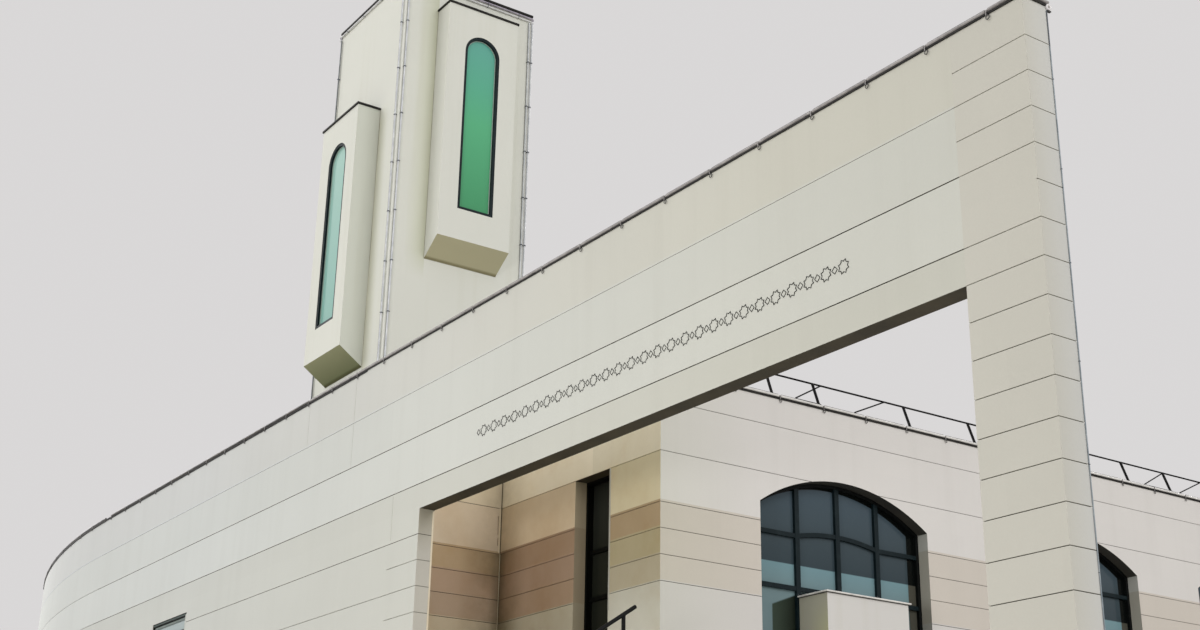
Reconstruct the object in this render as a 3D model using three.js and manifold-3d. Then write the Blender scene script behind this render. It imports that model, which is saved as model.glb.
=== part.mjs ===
// A mosque building at full size: a long stone-clad front wall with a tall portal opening at its right
// end and a curved left end, a hall behind it with arched windows, and a square minaret with oriels.
import * as THREE from 'three';
import { mergeVertices } from 'three/addons/utils/BufferGeometryUtils.js';
import Module from 'manifold-3d';

const wasm = await Module();
wasm.setup();

// Sizes in millimetres. X runs right along the front wall and is 0 at its right end.
// Y runs back and is 0 at the front wall's face. Z runs up and is 0 at the ground.
const COURSE = 400; // height of one stone course
const GAP = 0.3; // left between pieces that touch

// Front wall, portal and curved end
const WALL_TOP = 26 * COURSE;
const WALL_THICK = 260;
const PIER_WIDTH = 1000;
const PIER_THICK = 360;
const PORTAL_LEFT = -12410;
const PORTAL_HEAD = 19 * COURSE;
const BEND_START = -28260;
const BEND_RADIUS = 34100;
const BEND_ANGLE = THREE.MathUtils.degToRad(15.5);
const CORNER_RADIUS = 3000;
const CORNER_ANGLE = Math.PI / 2;

// Hall behind the front wall
const HALL_TOP = 24.1 * COURSE;
const HALL_THICK = 350;
const HALL_RIGHT = -9757;
const HALL_FRONT = 2659;
const RECESS_SIDE = -14420;
const RECESS_THICK = 300;
const HALL_BACK = 21060;
const BACK_THICK = 300;
const FLOOR_TOP = 12 * COURSE;
const FLOOR_THICK = 300;
const ROOF_TOP = 23 * COURSE;
const ROOF_THICK = 250;

// Metal copings
const COPING_THICK = 80;
const COPING_OVERHANG = 30;

// Windows: outlines in the wall, and the frame and glass behind the reveal
const ARCH = { width: 3644, sill: FLOOR_TOP, springing: 7920, rise: 565 };
const ARCH_FIRST = 6423;
const ARCH_PITCH = 5440;
const ARCHES_RIGHT = 3;
const ARCHES_BACK = 5;
const ARCH_REVEAL = 220;
const MULLION_PITCH = 870;
const TRANSOMS = [6675, 7530];
const FRAME_DEPTH = 60;
const FRAME_FACE = 70;
const BAR_FACE = 100;
const GLASS_THICK = 24;
const SLOT = { left: -12090, right: -11110, sill: FLOOR_TOP, head: 21 * COURSE, reveal: 270 };
const SLOT_TRANSOMS = [5720, 6480, 7240];
const SMALL = { width: 1920, sill: 14 * COURSE, head: 18.5 * COURSE, reveal: 120 };
const SMALL_FRONT = -23120;
const SMALL_LEFT = [8000, 13000, 18000];

// Minaret
const TOWER = { left: -18160, right: -15260, front: 570, back: 3390, thick: 250, top: 18840 };
const TOWER_ROOF = 140;
const ORIEL = { width: 1530, reach: 470, height: 4900, slope: 330, shell: 90 };
const LIGHT = { width: 760, foot: 620, head: 4350, frame: 55, depth: 50, reveal: 40 };
const HIGH_ORIEL_TOP = 18310;
const LOW_ORIEL_TOP = 16270;
const HIGH_ORIEL_AT = 2040;
const LOW_ORIEL_AT = -16840;
const REAR_ORIEL_AT = -16900;

// Block beside the first arched window
const BLOCK = { front: 5550, back: 7280, right: -9320, top: 6520, coping: 40, overhang: 40 };

// Outdoor stair through the portal
const RISERS = 28;
const TREAD = 260;
const RISER = FLOOR_TOP / RISERS;
const STAIR_LEFT = PORTAL_LEFT + 10;
const STAIR_RIGHT = -9000;
const LANDING_EDGE = 1730;
const STAIR_FOOT = LANDING_EDGE - (RISERS - 1) * TREAD;
const LOWER_STEPS = 14;
const RAIL = { height: 1000, bar: 44, post: 34, middle: 20, inset: 60, postEvery: 5 };

// Guard rail on the right parapet: posts that lean inwards, and braces between their foot and the rail
const GUARD = { foot: -9900, rail: -10150, top: 10260, tube: 34, post: 36, brace: 24 };
const GUARD_ENDS = [3850, 19700];
const GUARD_POSTS = [4050, 5100, 6120, 8230, 9830, 11930, 14040, 15310, 17400, 19500];
const GUARD_BRACES = [[5630, 6310], [6950, 7780], [14550, 15320], [15620, 16500]];
const BRACE_FOOT = { at: -10020, level: 9880 };
const GUARD_PLATE = { along: 120, across: 90, thick: 12 };

const wallStone = new THREE.MeshStandardMaterial({ color: 0xcfcec5, roughness: 0.85, metalness: 0 });
const hallStone = new THREE.MeshStandardMaterial({ color: 0xcbc8bf, roughness: 0.85, metalness: 0 });
const render = new THREE.MeshStandardMaterial({ color: 0xd6d6cb, roughness: 0.9, metalness: 0 });
const concrete = new THREE.MeshStandardMaterial({ color: 0xa8a59d, roughness: 0.95, metalness: 0 });
const copingMetal = new THREE.MeshStandardMaterial({ color: 0x33342f, roughness: 0.5, metalness: 0.8 });
const frameMetal = new THREE.MeshStandardMaterial({ color: 0x1f2b28, roughness: 0.5, metalness: 0.6 });
const railSteel = new THREE.MeshStandardMaterial({ color: 0x2b3032, roughness: 0.45, metalness: 0.7 });
const guardSteel = new THREE.MeshStandardMaterial({ color: 0x8d9094, roughness: 0.45, metalness: 0.8 });
const darkGlass = new THREE.MeshStandardMaterial({ color: 0x2f4550, roughness: 0.1, metalness: 0 });
const greenGlass = new THREE.MeshStandardMaterial({ color: 0x4f9f7c, roughness: 0.1, metalness: 0 });

const AXIS_X = new THREE.Vector3(1, 0, 0);
const AXIS_Y = new THREE.Vector3(0, 1, 0);
const AXIS_Z = new THREE.Vector3(0, 0, 1);
const building = new THREE.Group();

function place(name, geometry, material) {
  const mesh = new THREE.Mesh(geometry, material);
  mesh.name = name;
  building.add(mesh);
}

// A closed geometry as a solid that can be joined and cut, and back again

function solid(geometry) {
  const bare = geometry.clone();
  bare.deleteAttribute('normal');
  bare.deleteAttribute('uv');
  const merged = mergeVertices(bare, 1e-3);
  const triVerts = new Uint32Array(merged.index.array);
  return new wasm.Manifold(
    new wasm.Mesh({ numProp: 3, vertProperties: merged.attributes.position.array, triVerts }),
  );
}

function geometryOf(body) {
  const mesh = body.getMesh();
  const geometry = new THREE.BufferGeometry();
  geometry.setAttribute('position', new THREE.BufferAttribute(mesh.vertProperties, 3));
  geometry.setIndex(new THREE.BufferAttribute(mesh.triVerts, 1));
  geometry.computeVertexNormals();
  return geometry;
}

// Outlines: lists of [u, v] points made into shapes, and the ways to extrude them

function outline(points) {
  return new THREE.Shape(points.map(([u, v]) => new THREE.Vector2(u, v)));
}

function rectangle(left, right, low, high) {
  return outline([[left, low], [right, low], [right, high], [left, high]]);
}

function arch(centre, { width, sill, springing, rise }, inset = 0) {
  const half = width / 2;
  const radius = (half * half + rise * rise) / (2 * rise);
  const middle = springing + rise - radius;
  const turn = Math.asin((half - inset) / (radius - inset));
  const shape = new THREE.Shape();
  shape.moveTo(centre - half + inset, sill + inset);
  shape.lineTo(centre + half - inset, sill + inset);
  shape.absarc(centre, middle, radius - inset, Math.PI / 2 - turn, Math.PI / 2 + turn, false);
  shape.closePath();
  return shape;
}

function extruded(shape, depth) {
  return new THREE.ExtrudeGeometry(shape, { depth, bevelEnabled: false, curveSegments: 12 });
}

// A plan outline raised from the level low to the level high
function raised(shape, low, high) {
  return extruded(shape, high - low).translate(0, 0, low);
}

// An elevation drawn along X and Z, from the depth near to the depth far
function alongX(shape, near, far) {
  const turn = new THREE.Matrix4().makeBasis(AXIS_X, AXIS_Z, AXIS_Y.clone().negate());
  return extruded(shape, far - near).applyMatrix4(turn).translate(0, far, 0);
}

// An elevation drawn along Y and Z, from the place near to the place far on X
function alongY(shape, near, far) {
  const turn = new THREE.Matrix4().makeBasis(AXIS_Y, AXIS_Z, AXIS_X);
  return extruded(shape, far - near).applyMatrix4(turn).translate(near, 0, 0);
}

// A wall drawn by its elevation, with its windows cut through
function pierced(along, elevation, holes, near, far) {
  const cuts = holes.map((hole) => solid(along(hole, near - 1, far + 1)));
  return geometryOf(cuts.reduce((wall, cut) => wall.subtract(cut), solid(along(elevation, near, far))));
}

// A square bar from one point to another
function bar(from, to, width) {
  const span = to.clone().sub(from);
  const geometry = new THREE.BoxGeometry(width, span.length(), width);
  const turn = new THREE.Quaternion().setFromUnitVectors(AXIS_Y, span.normalize());
  const middle = from.clone().add(to).multiplyScalar(0.5);
  return solid(geometry.applyQuaternion(turn).translate(middle.x, middle.y, middle.z));
}

// The curved end, walked by angle: the wide bend first, then the tight corner

const bendCentre = [BEND_START, BEND_RADIUS];
const cornerCentre = [
  BEND_START - (BEND_RADIUS - CORNER_RADIUS) * Math.sin(BEND_ANGLE),
  BEND_RADIUS - (BEND_RADIUS - CORNER_RADIUS) * Math.cos(BEND_ANGLE),
];
const WALL_LEFT = cornerCentre[0] - CORNER_RADIUS;
const BEND_FACETS = 12;
const CORNER_FACETS = 16;

function arcPoints([x, y], radius, from, to, facets) {
  return Array.from({ length: facets + 1 }, (_, i) => {
    const angle = from + ((to - from) * i) / facets;
    return [x - radius * Math.sin(angle), y - radius * Math.cos(angle)];
  });
}

function bendPoints(offset, from = 0, to = BEND_ANGLE, facets = BEND_FACETS) {
  return arcPoints(bendCentre, BEND_RADIUS + offset, from, to, facets);
}

function cornerPoints(offset, from = BEND_ANGLE, to = CORNER_ANGLE, facets = CORNER_FACETS) {
  return arcPoints(cornerCentre, CORNER_RADIUS + offset, from, to, facets);
}

function curvedPiece(points, radius, from, to, facets) {
  const shave = GAP / radius;
  const outer = points(0, from + shave, to - shave, facets);
  const inner = points(-WALL_THICK, from + shave, to - shave, facets);
  return raised(outline([...outer, ...inner.reverse()]), 0, WALL_TOP);
}

// Front wall: the free-standing pier and beam of the portal, the long wall and the curved end

const smallFront = rectangle(
  SMALL_FRONT - SMALL.width / 2,
  SMALL_FRONT + SMALL.width / 2,
  SMALL.sill,
  SMALL.head,
);
const frontElevation = rectangle(BEND_START + GAP, PORTAL_LEFT, 0, WALL_TOP);
place('portal_pier', alongX(rectangle(-PIER_WIDTH, 0, 0, WALL_TOP), 0, PIER_THICK), wallStone);
place(
  'portal_beam',
  alongX(rectangle(PORTAL_LEFT + GAP, -PIER_WIDTH - GAP, PORTAL_HEAD, WALL_TOP), 0, WALL_THICK),
  wallStone,
);
place('front_wall', pierced(alongX, frontElevation, [smallFront], 0, WALL_THICK), wallStone);
for (const i of [0, 1]) {
  const from = (BEND_ANGLE * i) / 2;
  const piece = curvedPiece(bendPoints, BEND_RADIUS, from, from + BEND_ANGLE / 2, BEND_FACETS / 2);
  place(`curved_wall_${i + 1}`, piece, wallStone);
}
for (const i of [0, 1]) {
  const sweep = (CORNER_ANGLE - BEND_ANGLE) / 2;
  const from = BEND_ANGLE + sweep * i;
  const piece = curvedPiece(cornerPoints, CORNER_RADIUS, from, from + sweep, CORNER_FACETS / 2);
  place(`corner_wall_${i + 1}`, piece, wallStone);
}

// Left wall, behind the curved end

const leftElevation = rectangle(cornerCentre[1] + GAP, HALL_BACK, 0, WALL_TOP);
const leftHoles = SMALL_LEFT.map(
  (centre) => rectangle(centre - SMALL.width / 2, centre + SMALL.width / 2, SMALL.sill, SMALL.head),
);
place(
  'left_wall',
  pierced(alongY, leftElevation, leftHoles, WALL_LEFT, WALL_LEFT + WALL_THICK),
  wallStone,
);

// Hall walls: the right facade and the back with arched windows, and the recess with its slot window

const archCentres = Array.from({ length: ARCHES_RIGHT }, (_, i) => ARCH_FIRST + ARCH_PITCH * i);
const backMiddle = (WALL_LEFT + HALL_RIGHT) / 2;
const backCentres = Array.from(
  { length: ARCHES_BACK },
  (_, i) => backMiddle + ARCH_PITCH * (i - (ARCHES_BACK - 1) / 2),
);
const rightElevation = rectangle(HALL_FRONT, HALL_BACK, 0, HALL_TOP);
const rightHoles = archCentres.map((centre) => arch(centre, ARCH));
const backLeft = WALL_LEFT + WALL_THICK + GAP;
const backRight = HALL_RIGHT - HALL_THICK - GAP;
const backElevation = rectangle(backLeft, backRight, 0, HALL_TOP);
const backHoles = backCentres.map((centre) => arch(centre, ARCH));
const recessLeft = RECESS_SIDE - RECESS_THICK;
const recessElevation = rectangle(recessLeft, backRight, 0, HALL_TOP);
const slotHole = rectangle(SLOT.left, SLOT.right, SLOT.sill, SLOT.head);
const recessSide = rectangle(WALL_THICK + GAP, HALL_FRONT - GAP, 0, HALL_TOP);
place(
  'right_wall',
  pierced(alongY, rightElevation, rightHoles, HALL_RIGHT - HALL_THICK, HALL_RIGHT),
  hallStone,
);
place(
  'back_wall',
  pierced(alongX, backElevation, backHoles, HALL_BACK - BACK_THICK, HALL_BACK),
  hallStone,
);
place(
  'recess_back_wall',
  pierced(alongX, recessElevation, [slotHole], HALL_FRONT, HALL_FRONT + HALL_THICK),
  hallStone,
);
place('recess_side_wall', alongY(recessSide, recessLeft, RECESS_SIDE), hallStone);

// Floor and roof slabs fill the hall's plan, cut out around the minaret

function hallPlan() {
  const side = -WALL_THICK - GAP;
  const plan = outline([
    ...bendPoints(side),
    ...cornerPoints(side).slice(1),
    [WALL_LEFT + WALL_THICK + GAP, HALL_BACK - BACK_THICK - GAP],
    [backRight, HALL_BACK - BACK_THICK - GAP],
    [backRight, HALL_FRONT + HALL_THICK + GAP],
    [recessLeft - GAP, HALL_FRONT + HALL_THICK + GAP],
    [recessLeft - GAP, WALL_THICK + GAP],
  ]);
  plan.holes.push(
    rectangle(TOWER.left - GAP, TOWER.right + GAP, TOWER.front - GAP, TOWER.back + GAP),
  );
  return plan;
}
place('upper_floor', raised(hallPlan(), FLOOR_TOP - FLOOR_THICK, FLOOR_TOP), concrete);
place('roof_slab', raised(hallPlan(), ROOF_TOP - ROOF_THICK, ROOF_TOP), concrete);

// Copings

function copingPiece(points, top) {
  return raised(outline(points), top + GAP, top + COPING_THICK);
}
const over = COPING_OVERHANG;
const frontInner = WALL_THICK + over;
place(
  'front_coping',
  copingPiece([
    [BEND_START + GAP, -over],
    [over, -over],
    [over, PIER_THICK + over],
    [-PIER_WIDTH - over, PIER_THICK + over],
    [-PIER_WIDTH - over, frontInner],
    [BEND_START + GAP, frontInner],
  ], WALL_TOP),
  copingMetal,
);
place(
  'curved_coping',
  copingPiece([
    ...bendPoints(over),
    ...cornerPoints(over).slice(1),
    [WALL_LEFT - over, HALL_BACK + over],
    [WALL_LEFT + WALL_THICK + over, HALL_BACK + over],
    ...cornerPoints(-frontInner).reverse(),
    ...bendPoints(-frontInner).reverse().slice(1),
  ], WALL_TOP),
  copingMetal,
);
place(
  'parapet_coping',
  copingPiece([
    [backLeft, HALL_BACK + over],
    [backLeft, HALL_BACK - BACK_THICK - over],
    [backRight - over, HALL_BACK - BACK_THICK - over],
    [backRight - over, HALL_FRONT + HALL_THICK + over],
    [recessLeft - over, HALL_FRONT + HALL_THICK + over],
    [recessLeft - over, WALL_THICK + GAP],
    [RECESS_SIDE + over, WALL_THICK + GAP],
    [RECESS_SIDE + over, HALL_FRONT - over],
    [HALL_RIGHT + over, HALL_FRONT - over],
    [HALL_RIGHT + over, HALL_BACK + over],
  ], HALL_TOP),
  copingMetal,
);

// Arched windows of the right facade: frame with mullions and transoms, and one glass each

archCentres.forEach((centre, i) => {
  const face = HALL_RIGHT - ARCH_REVEAL;
  const whole = solid(alongY(arch(centre, ARCH, GAP), face - FRAME_DEPTH, face));
  const clear = solid(alongY(arch(centre, ARCH, FRAME_FACE), face - FRAME_DEPTH, face));
  let frame = whole.subtract(clear);
  for (const step of [-1, 0, 1]) {
    const at = centre + step * MULLION_PITCH;
    const mullion = rectangle(at - BAR_FACE / 2, at + BAR_FACE / 2, ARCH.sill + GAP, WALL_TOP);
    frame = frame.add(whole.intersect(solid(alongY(mullion, face - FRAME_DEPTH, face))));
  }
  for (const level of TRANSOMS) {
    const half = ARCH.width / 2 - GAP;
    const transom = rectangle(centre - half, centre + half, level - BAR_FACE / 2, level + BAR_FACE / 2);
    frame = frame.add(whole.intersect(solid(alongY(transom, face - FRAME_DEPTH, face))));
  }
  place(`right_window_frame_${i + 1}`, geometryOf(frame), frameMetal);
  const back = face - FRAME_DEPTH - GAP;
  place(`right_window_glass_${i + 1}`, alongY(arch(centre, ARCH, GAP), back - GLASS_THICK, back), darkGlass);
});

// Slot window in the recess and small window in the front wall

function spans(low, high, bars) {
  const edges = [low + FRAME_FACE, ...bars.flatMap((at) => [at - BAR_FACE / 2, at + BAR_FACE / 2])];
  edges.push(high - FRAME_FACE);
  return Array.from({ length: edges.length / 2 }, (_, i) => [edges[2 * i], edges[2 * i + 1]]);
}

function barredFrame({ left, right, sill, head }, uprights, transoms, near) {
  const panes = spans(left, right, uprights).flatMap(
    ([from, to]) => spans(sill, head, transoms).map(([low, high]) => rectangle(from, to, low, high)),
  );
  const whole = rectangle(left + GAP, right - GAP, sill + GAP, head - GAP);
  return pierced(alongX, whole, panes, near, near + FRAME_DEPTH);
}

function pane({ left, right, sill, head }, near, far) {
  return alongX(rectangle(left + GAP, right - GAP, sill + GAP, head - GAP), near, far);
}
const slotFace = HALL_FRONT + SLOT.reveal;
const slotBack = slotFace + FRAME_DEPTH + GAP;
place('slot_window_frame', barredFrame(SLOT, [], SLOT_TRANSOMS, slotFace), frameMetal);
place('slot_window_glass', pane(SLOT, slotBack, slotBack + GLASS_THICK), darkGlass);

const small = {
  left: SMALL_FRONT - SMALL.width / 2,
  right: SMALL_FRONT + SMALL.width / 2,
  sill: SMALL.sill,
  head: SMALL.head,
};
const smallBack = SMALL.reveal + FRAME_DEPTH + GAP;
place('front_window_frame', barredFrame(small, [SMALL_FRONT], [], SMALL.reveal), frameMetal);
place('front_window_glass', pane(small, smallBack, smallBack + GLASS_THICK), darkGlass);

// One sheet of glass closes the windows of the left wall, and one those of the back wall

const SHEET_EDGE = 100; // how far a sheet runs past its windows
const leftInside = WALL_LEFT + WALL_THICK + GAP;
const leftSheet = rectangle(
  SMALL_LEFT[0] - SMALL.width / 2 - SHEET_EDGE,
  SMALL_LEFT.at(-1) + SMALL.width / 2 + SHEET_EDGE,
  SMALL.sill - SHEET_EDGE,
  SMALL.head + SHEET_EDGE,
);
place('left_window_glass', alongY(leftSheet, leftInside, leftInside + GLASS_THICK), darkGlass);
const backInside = HALL_BACK - BACK_THICK - GAP;
const backSheet = rectangle(
  backCentres[0] - ARCH.width / 2 - SHEET_EDGE,
  backCentres.at(-1) + ARCH.width / 2 + SHEET_EDGE,
  FLOOR_TOP + GAP,
  ARCH.springing + ARCH.rise + SHEET_EDGE,
);
place('back_window_glass', alongX(backSheet, backInside - GLASS_THICK, backInside), darkGlass);

// Minaret: four walls with a slot behind each oriel, and a roof

const slotHalf = LIGHT.width / 2;

function towerWall(along, [low, high], at, orielTop, near) {
  const foot = orielTop - ORIEL.height + LIGHT.foot;
  const head = orielTop - ORIEL.height + LIGHT.head;
  const hole = rectangle(at - slotHalf, at + slotHalf, foot, head);
  return pierced(along, rectangle(low, high, 0, TOWER.top), [hole], near, near + TOWER.thick);
}
const inBack = TOWER.back - TOWER.thick;
const acrossTower = [TOWER.left, TOWER.right];
const betweenTower = [TOWER.front + TOWER.thick + GAP, inBack - GAP];
const towerWalls = [
  ['front', alongX, acrossTower, LOW_ORIEL_AT, LOW_ORIEL_TOP, TOWER.front],
  ['back', alongX, acrossTower, REAR_ORIEL_AT, LOW_ORIEL_TOP, inBack],
  ['right', alongY, betweenTower, HIGH_ORIEL_AT, HIGH_ORIEL_TOP, TOWER.right - TOWER.thick],
  ['left', alongY, betweenTower, HIGH_ORIEL_AT, HIGH_ORIEL_TOP, TOWER.left],
];
for (const [side, ...sizes] of towerWalls) {
  place(`minaret_${side}_wall`, towerWall(...sizes), render);
}
const towerPlan = rectangle(
  TOWER.left - over, TOWER.right + over, TOWER.front - over, TOWER.back + over,
);
place('minaret_roof', raised(towerPlan, TOWER.top + GAP, TOWER.top + TOWER_ROOF), copingMetal);

// Oriels: a thin box with a sloping underside, open to the shaft, with a round-headed window.
// Each is made facing +X at the origin, with its top at zero, then turned to its face.

const light = {
  width: LIGHT.width,
  sill: LIGHT.foot - ORIEL.height,
  springing: LIGHT.head - ORIEL.height - LIGHT.width / 2,
  rise: LIGHT.width / 2 - 1,
};

function orielParts() {
  const half = ORIEL.width / 2;
  const bottom = -ORIEL.height;
  const shell = ORIEL.shell;
  const underside = (reach) => bottom - (ORIEL.slope * (ORIEL.reach - reach)) / ORIEL.reach;
  const lift = (shell * Math.hypot(ORIEL.reach, ORIEL.slope)) / ORIEL.reach;
  const profile = outline([
    [GAP, underside(0)],
    [ORIEL.reach, bottom],
    [ORIEL.reach, 0],
    [GAP, 0],
  ]);
  const body = solid(alongX(profile, -half, half));
  const hollow = outline([
    [-1, underside(-1) + lift],
    [ORIEL.reach - shell, underside(ORIEL.reach - shell) + lift],
    [ORIEL.reach - shell, -shell],
    [-1, -shell],
  ]);
  const inside = solid(alongX(hollow, -half + shell, half - shell));
  const hole = solid(alongY(arch(0, light), 0, ORIEL.reach + 1));
  const face = ORIEL.reach - LIGHT.reveal;
  const ring = arch(0, light, GAP);
  ring.holes.push(arch(0, light, LIGHT.frame));
  const back = face - LIGHT.depth - GAP;
  return [
    [geometryOf(body.subtract(inside).subtract(hole)), render, 'body'],
    [alongY(ring, face - LIGHT.depth, face), frameMetal, 'frame'],
    [alongY(arch(0, light, LIGHT.frame + GAP), face - LIGHT.depth, back + GLASS_THICK), greenGlass, 'glass'],
  ];
}

const oriels = [
  ['right', 0, TOWER.right, HIGH_ORIEL_AT, HIGH_ORIEL_TOP],
  ['front', -Math.PI / 2, LOW_ORIEL_AT, TOWER.front, LOW_ORIEL_TOP],
  ['left', Math.PI, TOWER.left, HIGH_ORIEL_AT, HIGH_ORIEL_TOP],
  ['back', Math.PI / 2, REAR_ORIEL_AT, TOWER.back, LOW_ORIEL_TOP],
];
for (const [side, turn, x, y, top] of oriels) {
  for (const [geometry, material, piece] of orielParts()) {
    geometry.rotateZ(turn).translate(x, y, top);
    place(`${side}_oriel_${piece}`, geometry, material);
  }
}

// Block that stands against the first arched window, with a metal coping

const blockInside = HALL_RIGHT - ARCH_REVEAL + GAP;
const blockProfile = outline([
  [HALL_RIGHT + GAP, 0],
  [BLOCK.right, 0],
  [BLOCK.right, BLOCK.top],
  [blockInside, BLOCK.top],
  [blockInside, FLOOR_TOP + GAP],
  [HALL_RIGHT + GAP, FLOOR_TOP + GAP],
]);
place('side_block', alongX(blockProfile, BLOCK.front, BLOCK.back), render);
const blockPlan = rectangle(
  blockInside, BLOCK.right + BLOCK.overhang, BLOCK.front - BLOCK.overhang, BLOCK.back + BLOCK.overhang,
);
place('side_block_coping', raised(blockPlan, BLOCK.top + GAP, BLOCK.top + BLOCK.coping), copingMetal);

// Outdoor stair: two flights that run into one another, and the landing in the recess

function flight(firstStep, steps) {
  const start = STAIR_FOOT + firstStep * TREAD;
  const points = [[start + (firstStep ? GAP : 0), 0]];
  for (let i = 0; i < steps; i += 1) {
    const level = RISER * (firstStep + i + 1);
    const near = start + i * TREAD;
    points.push([i === 0 ? points[0][0] : near, level]);
    points.push([i === steps - 1 ? near + TREAD - GAP : near + TREAD, level]);
  }
  points.push([start + steps * TREAD - GAP, 0]);
  return alongY(outline(points.reverse()), STAIR_LEFT + GAP, STAIR_RIGHT);
}
place('stair_lower_flight', flight(0, LOWER_STEPS), concrete);
place('stair_upper_flight', flight(LOWER_STEPS, RISERS - 1 - LOWER_STEPS), concrete);
place(
  'stair_landing',
  raised(outline([
    [RECESS_SIDE + GAP, WALL_THICK + GAP],
    [STAIR_LEFT, WALL_THICK + GAP],
    [STAIR_LEFT, LANDING_EDGE],
    [STAIR_RIGHT, LANDING_EDGE],
    [STAIR_RIGHT, HALL_FRONT - GAP],
    [RECESS_SIDE + GAP, HALL_FRONT - GAP],
  ]), 0, FLOOR_TOP),
  concrete,
);

// Handrails on both sides of the stair

function handrail(x) {
  const pitch = RISER / TREAD;
  const line = (y, height) => new THREE.Vector3(x, y, RISER + (y - STAIR_FOOT) * pitch + height);
  const first = STAIR_FOOT + TREAD / 2;
  const last = STAIR_FOOT + (RISERS - 1.5) * TREAD;
  const half = RAIL.height / 2;
  const steps = Array.from(
    { length: Math.floor((RISERS - 2) / RAIL.postEvery) + 1 },
    (_, i) => i * RAIL.postEvery,
  );
  steps.push(RISERS - 2);
  let rail = bar(line(first - TREAD / 2, RAIL.height), line(LANDING_EDGE, RAIL.height), RAIL.bar);
  rail = rail.add(bar(line(first, half), line(last, half), RAIL.middle));
  for (const step of steps) {
    const y = first + step * TREAD;
    const foot = new THREE.Vector3(x, y, RISER * (step + 1) + GAP);
    rail = rail.add(bar(foot, line(y, RAIL.height), RAIL.post));
  }
  return geometryOf(rail);
}
place('stair_right_handrail', handrail(STAIR_RIGHT - RAIL.inset), railSteel);
place('stair_left_handrail', handrail(STAIR_LEFT + RAIL.inset), railSteel);

// Guard rail on the right parapet: each post stands on a plate on the coping and leans in to the rail

function guardRail() {
  const seat = HALL_TOP + COPING_THICK + GAP;
  const plateTop = seat + GUARD_PLATE.thick;
  const point = (x, y, z) => new THREE.Vector3(x, y, z);
  const plate = (x, y) => {
    const { along, across, thick } = GUARD_PLATE;
    const shape = rectangle(x - across / 2, x + across / 2, y - along / 2, y + along / 2);
    return solid(raised(shape, seat, seat + thick));
  };
  const [first, last] = GUARD_ENDS;
  let rail = bar(point(GUARD.rail, first, GUARD.top), point(GUARD.rail, last, GUARD.top), GUARD.tube);
  for (const y of GUARD_POSTS) {
    const foot = point(GUARD.foot, y, plateTop);
    rail = rail.add(bar(foot, point(GUARD.rail, y, GUARD.top), GUARD.post)).add(plate(GUARD.foot, y));
  }
  for (const [low, high] of GUARD_BRACES) {
    const { at, level } = BRACE_FOOT;
    const knee = point(at, low, level);
    const stub = point(at, low, plateTop - GUARD_PLATE.thick / 2);
    rail = rail.add(bar(knee, point(GUARD.rail, high, GUARD.top), GUARD.brace));
    rail = rail.add(bar(stub, knee, GUARD.brace)).add(plate(at, low));
  }
  return geometryOf(rail);
}
place('roof_guard_rail', guardRail(), guardSteel);

// The origin is the middle of the whole plan, at ground level

building.position.set(-WALL_LEFT / 2, -(STAIR_FOOT + HALL_BACK + over) / 2, 0);
const root = new THREE.Group();
root.add(building);

export default root;
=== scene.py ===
import math

import bmesh
import bpy
from mathutils import Matrix, Vector


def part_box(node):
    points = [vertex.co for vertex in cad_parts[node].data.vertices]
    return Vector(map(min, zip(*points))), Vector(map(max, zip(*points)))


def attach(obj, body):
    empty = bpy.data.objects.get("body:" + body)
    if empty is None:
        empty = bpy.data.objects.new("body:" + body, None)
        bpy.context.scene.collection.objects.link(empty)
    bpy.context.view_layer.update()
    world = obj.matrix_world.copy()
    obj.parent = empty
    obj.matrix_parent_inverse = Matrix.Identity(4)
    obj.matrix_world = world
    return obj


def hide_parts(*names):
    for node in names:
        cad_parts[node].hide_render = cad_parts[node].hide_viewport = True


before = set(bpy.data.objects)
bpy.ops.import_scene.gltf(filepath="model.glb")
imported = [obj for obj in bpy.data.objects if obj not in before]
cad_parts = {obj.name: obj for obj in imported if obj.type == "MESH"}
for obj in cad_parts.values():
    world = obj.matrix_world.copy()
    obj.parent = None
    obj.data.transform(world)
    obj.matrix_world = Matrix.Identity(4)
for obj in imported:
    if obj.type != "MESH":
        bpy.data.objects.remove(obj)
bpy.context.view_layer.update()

# The view. The building is seen from eye height, 1.5 m above the ground and 11 m in front of the wall's
# right end, looking left and up so that the wall, the portal and the minaret are all in the picture.

pier_low, pier_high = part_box("portal_pier")


def at(x, y, z):
    """A place measured from the foot of the front wall's right-hand edge, as a point of the part."""
    return Vector((pier_high.x + x, pier_low.y + y, z))


def at_x(x):
    """The part's X of a distance along the wall."""
    return at(x, 0, 0).x


def at_y(y):
    """The part's Y of a distance behind the wall's face."""
    return at(0, y, 0).y


EYE = at(9.3409, -11.3636, 1.5)
YAW, PITCH, ROLL = (math.radians(a) for a in (-56.03, 20.965, -1.05))
LENS_MM, FRAME_WIDTH_MM = 48.52, 36

forward = Vector((math.cos(PITCH) * math.sin(YAW), math.cos(PITCH) * math.cos(YAW), math.sin(PITCH)))
level = Vector((math.cos(YAW), -math.sin(YAW), 0))
down = forward.cross(level)
right = level * math.cos(ROLL) + down * math.sin(ROLL)
up = level * math.sin(ROLL) - down * math.cos(ROLL)
camera_data = bpy.data.cameras.new("eye_level_camera")
camera_data.sensor_width = FRAME_WIDTH_MM
camera_data.lens = LENS_MM
camera_data.clip_end = 500
camera = bpy.data.objects.new("eye_level_camera", camera_data)
bpy.context.scene.collection.objects.link(camera)
camera.matrix_world = Matrix((
    (right.x, up.x, -forward.x, EYE.x),
    (right.y, up.y, -forward.y, EYE.y),
    (right.z, up.z, -forward.z, EYE.z),
    (0, 0, 0, 1),
))
bpy.context.scene.camera = camera
bpy.context.scene.view_settings.view_transform = "Standard"

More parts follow.
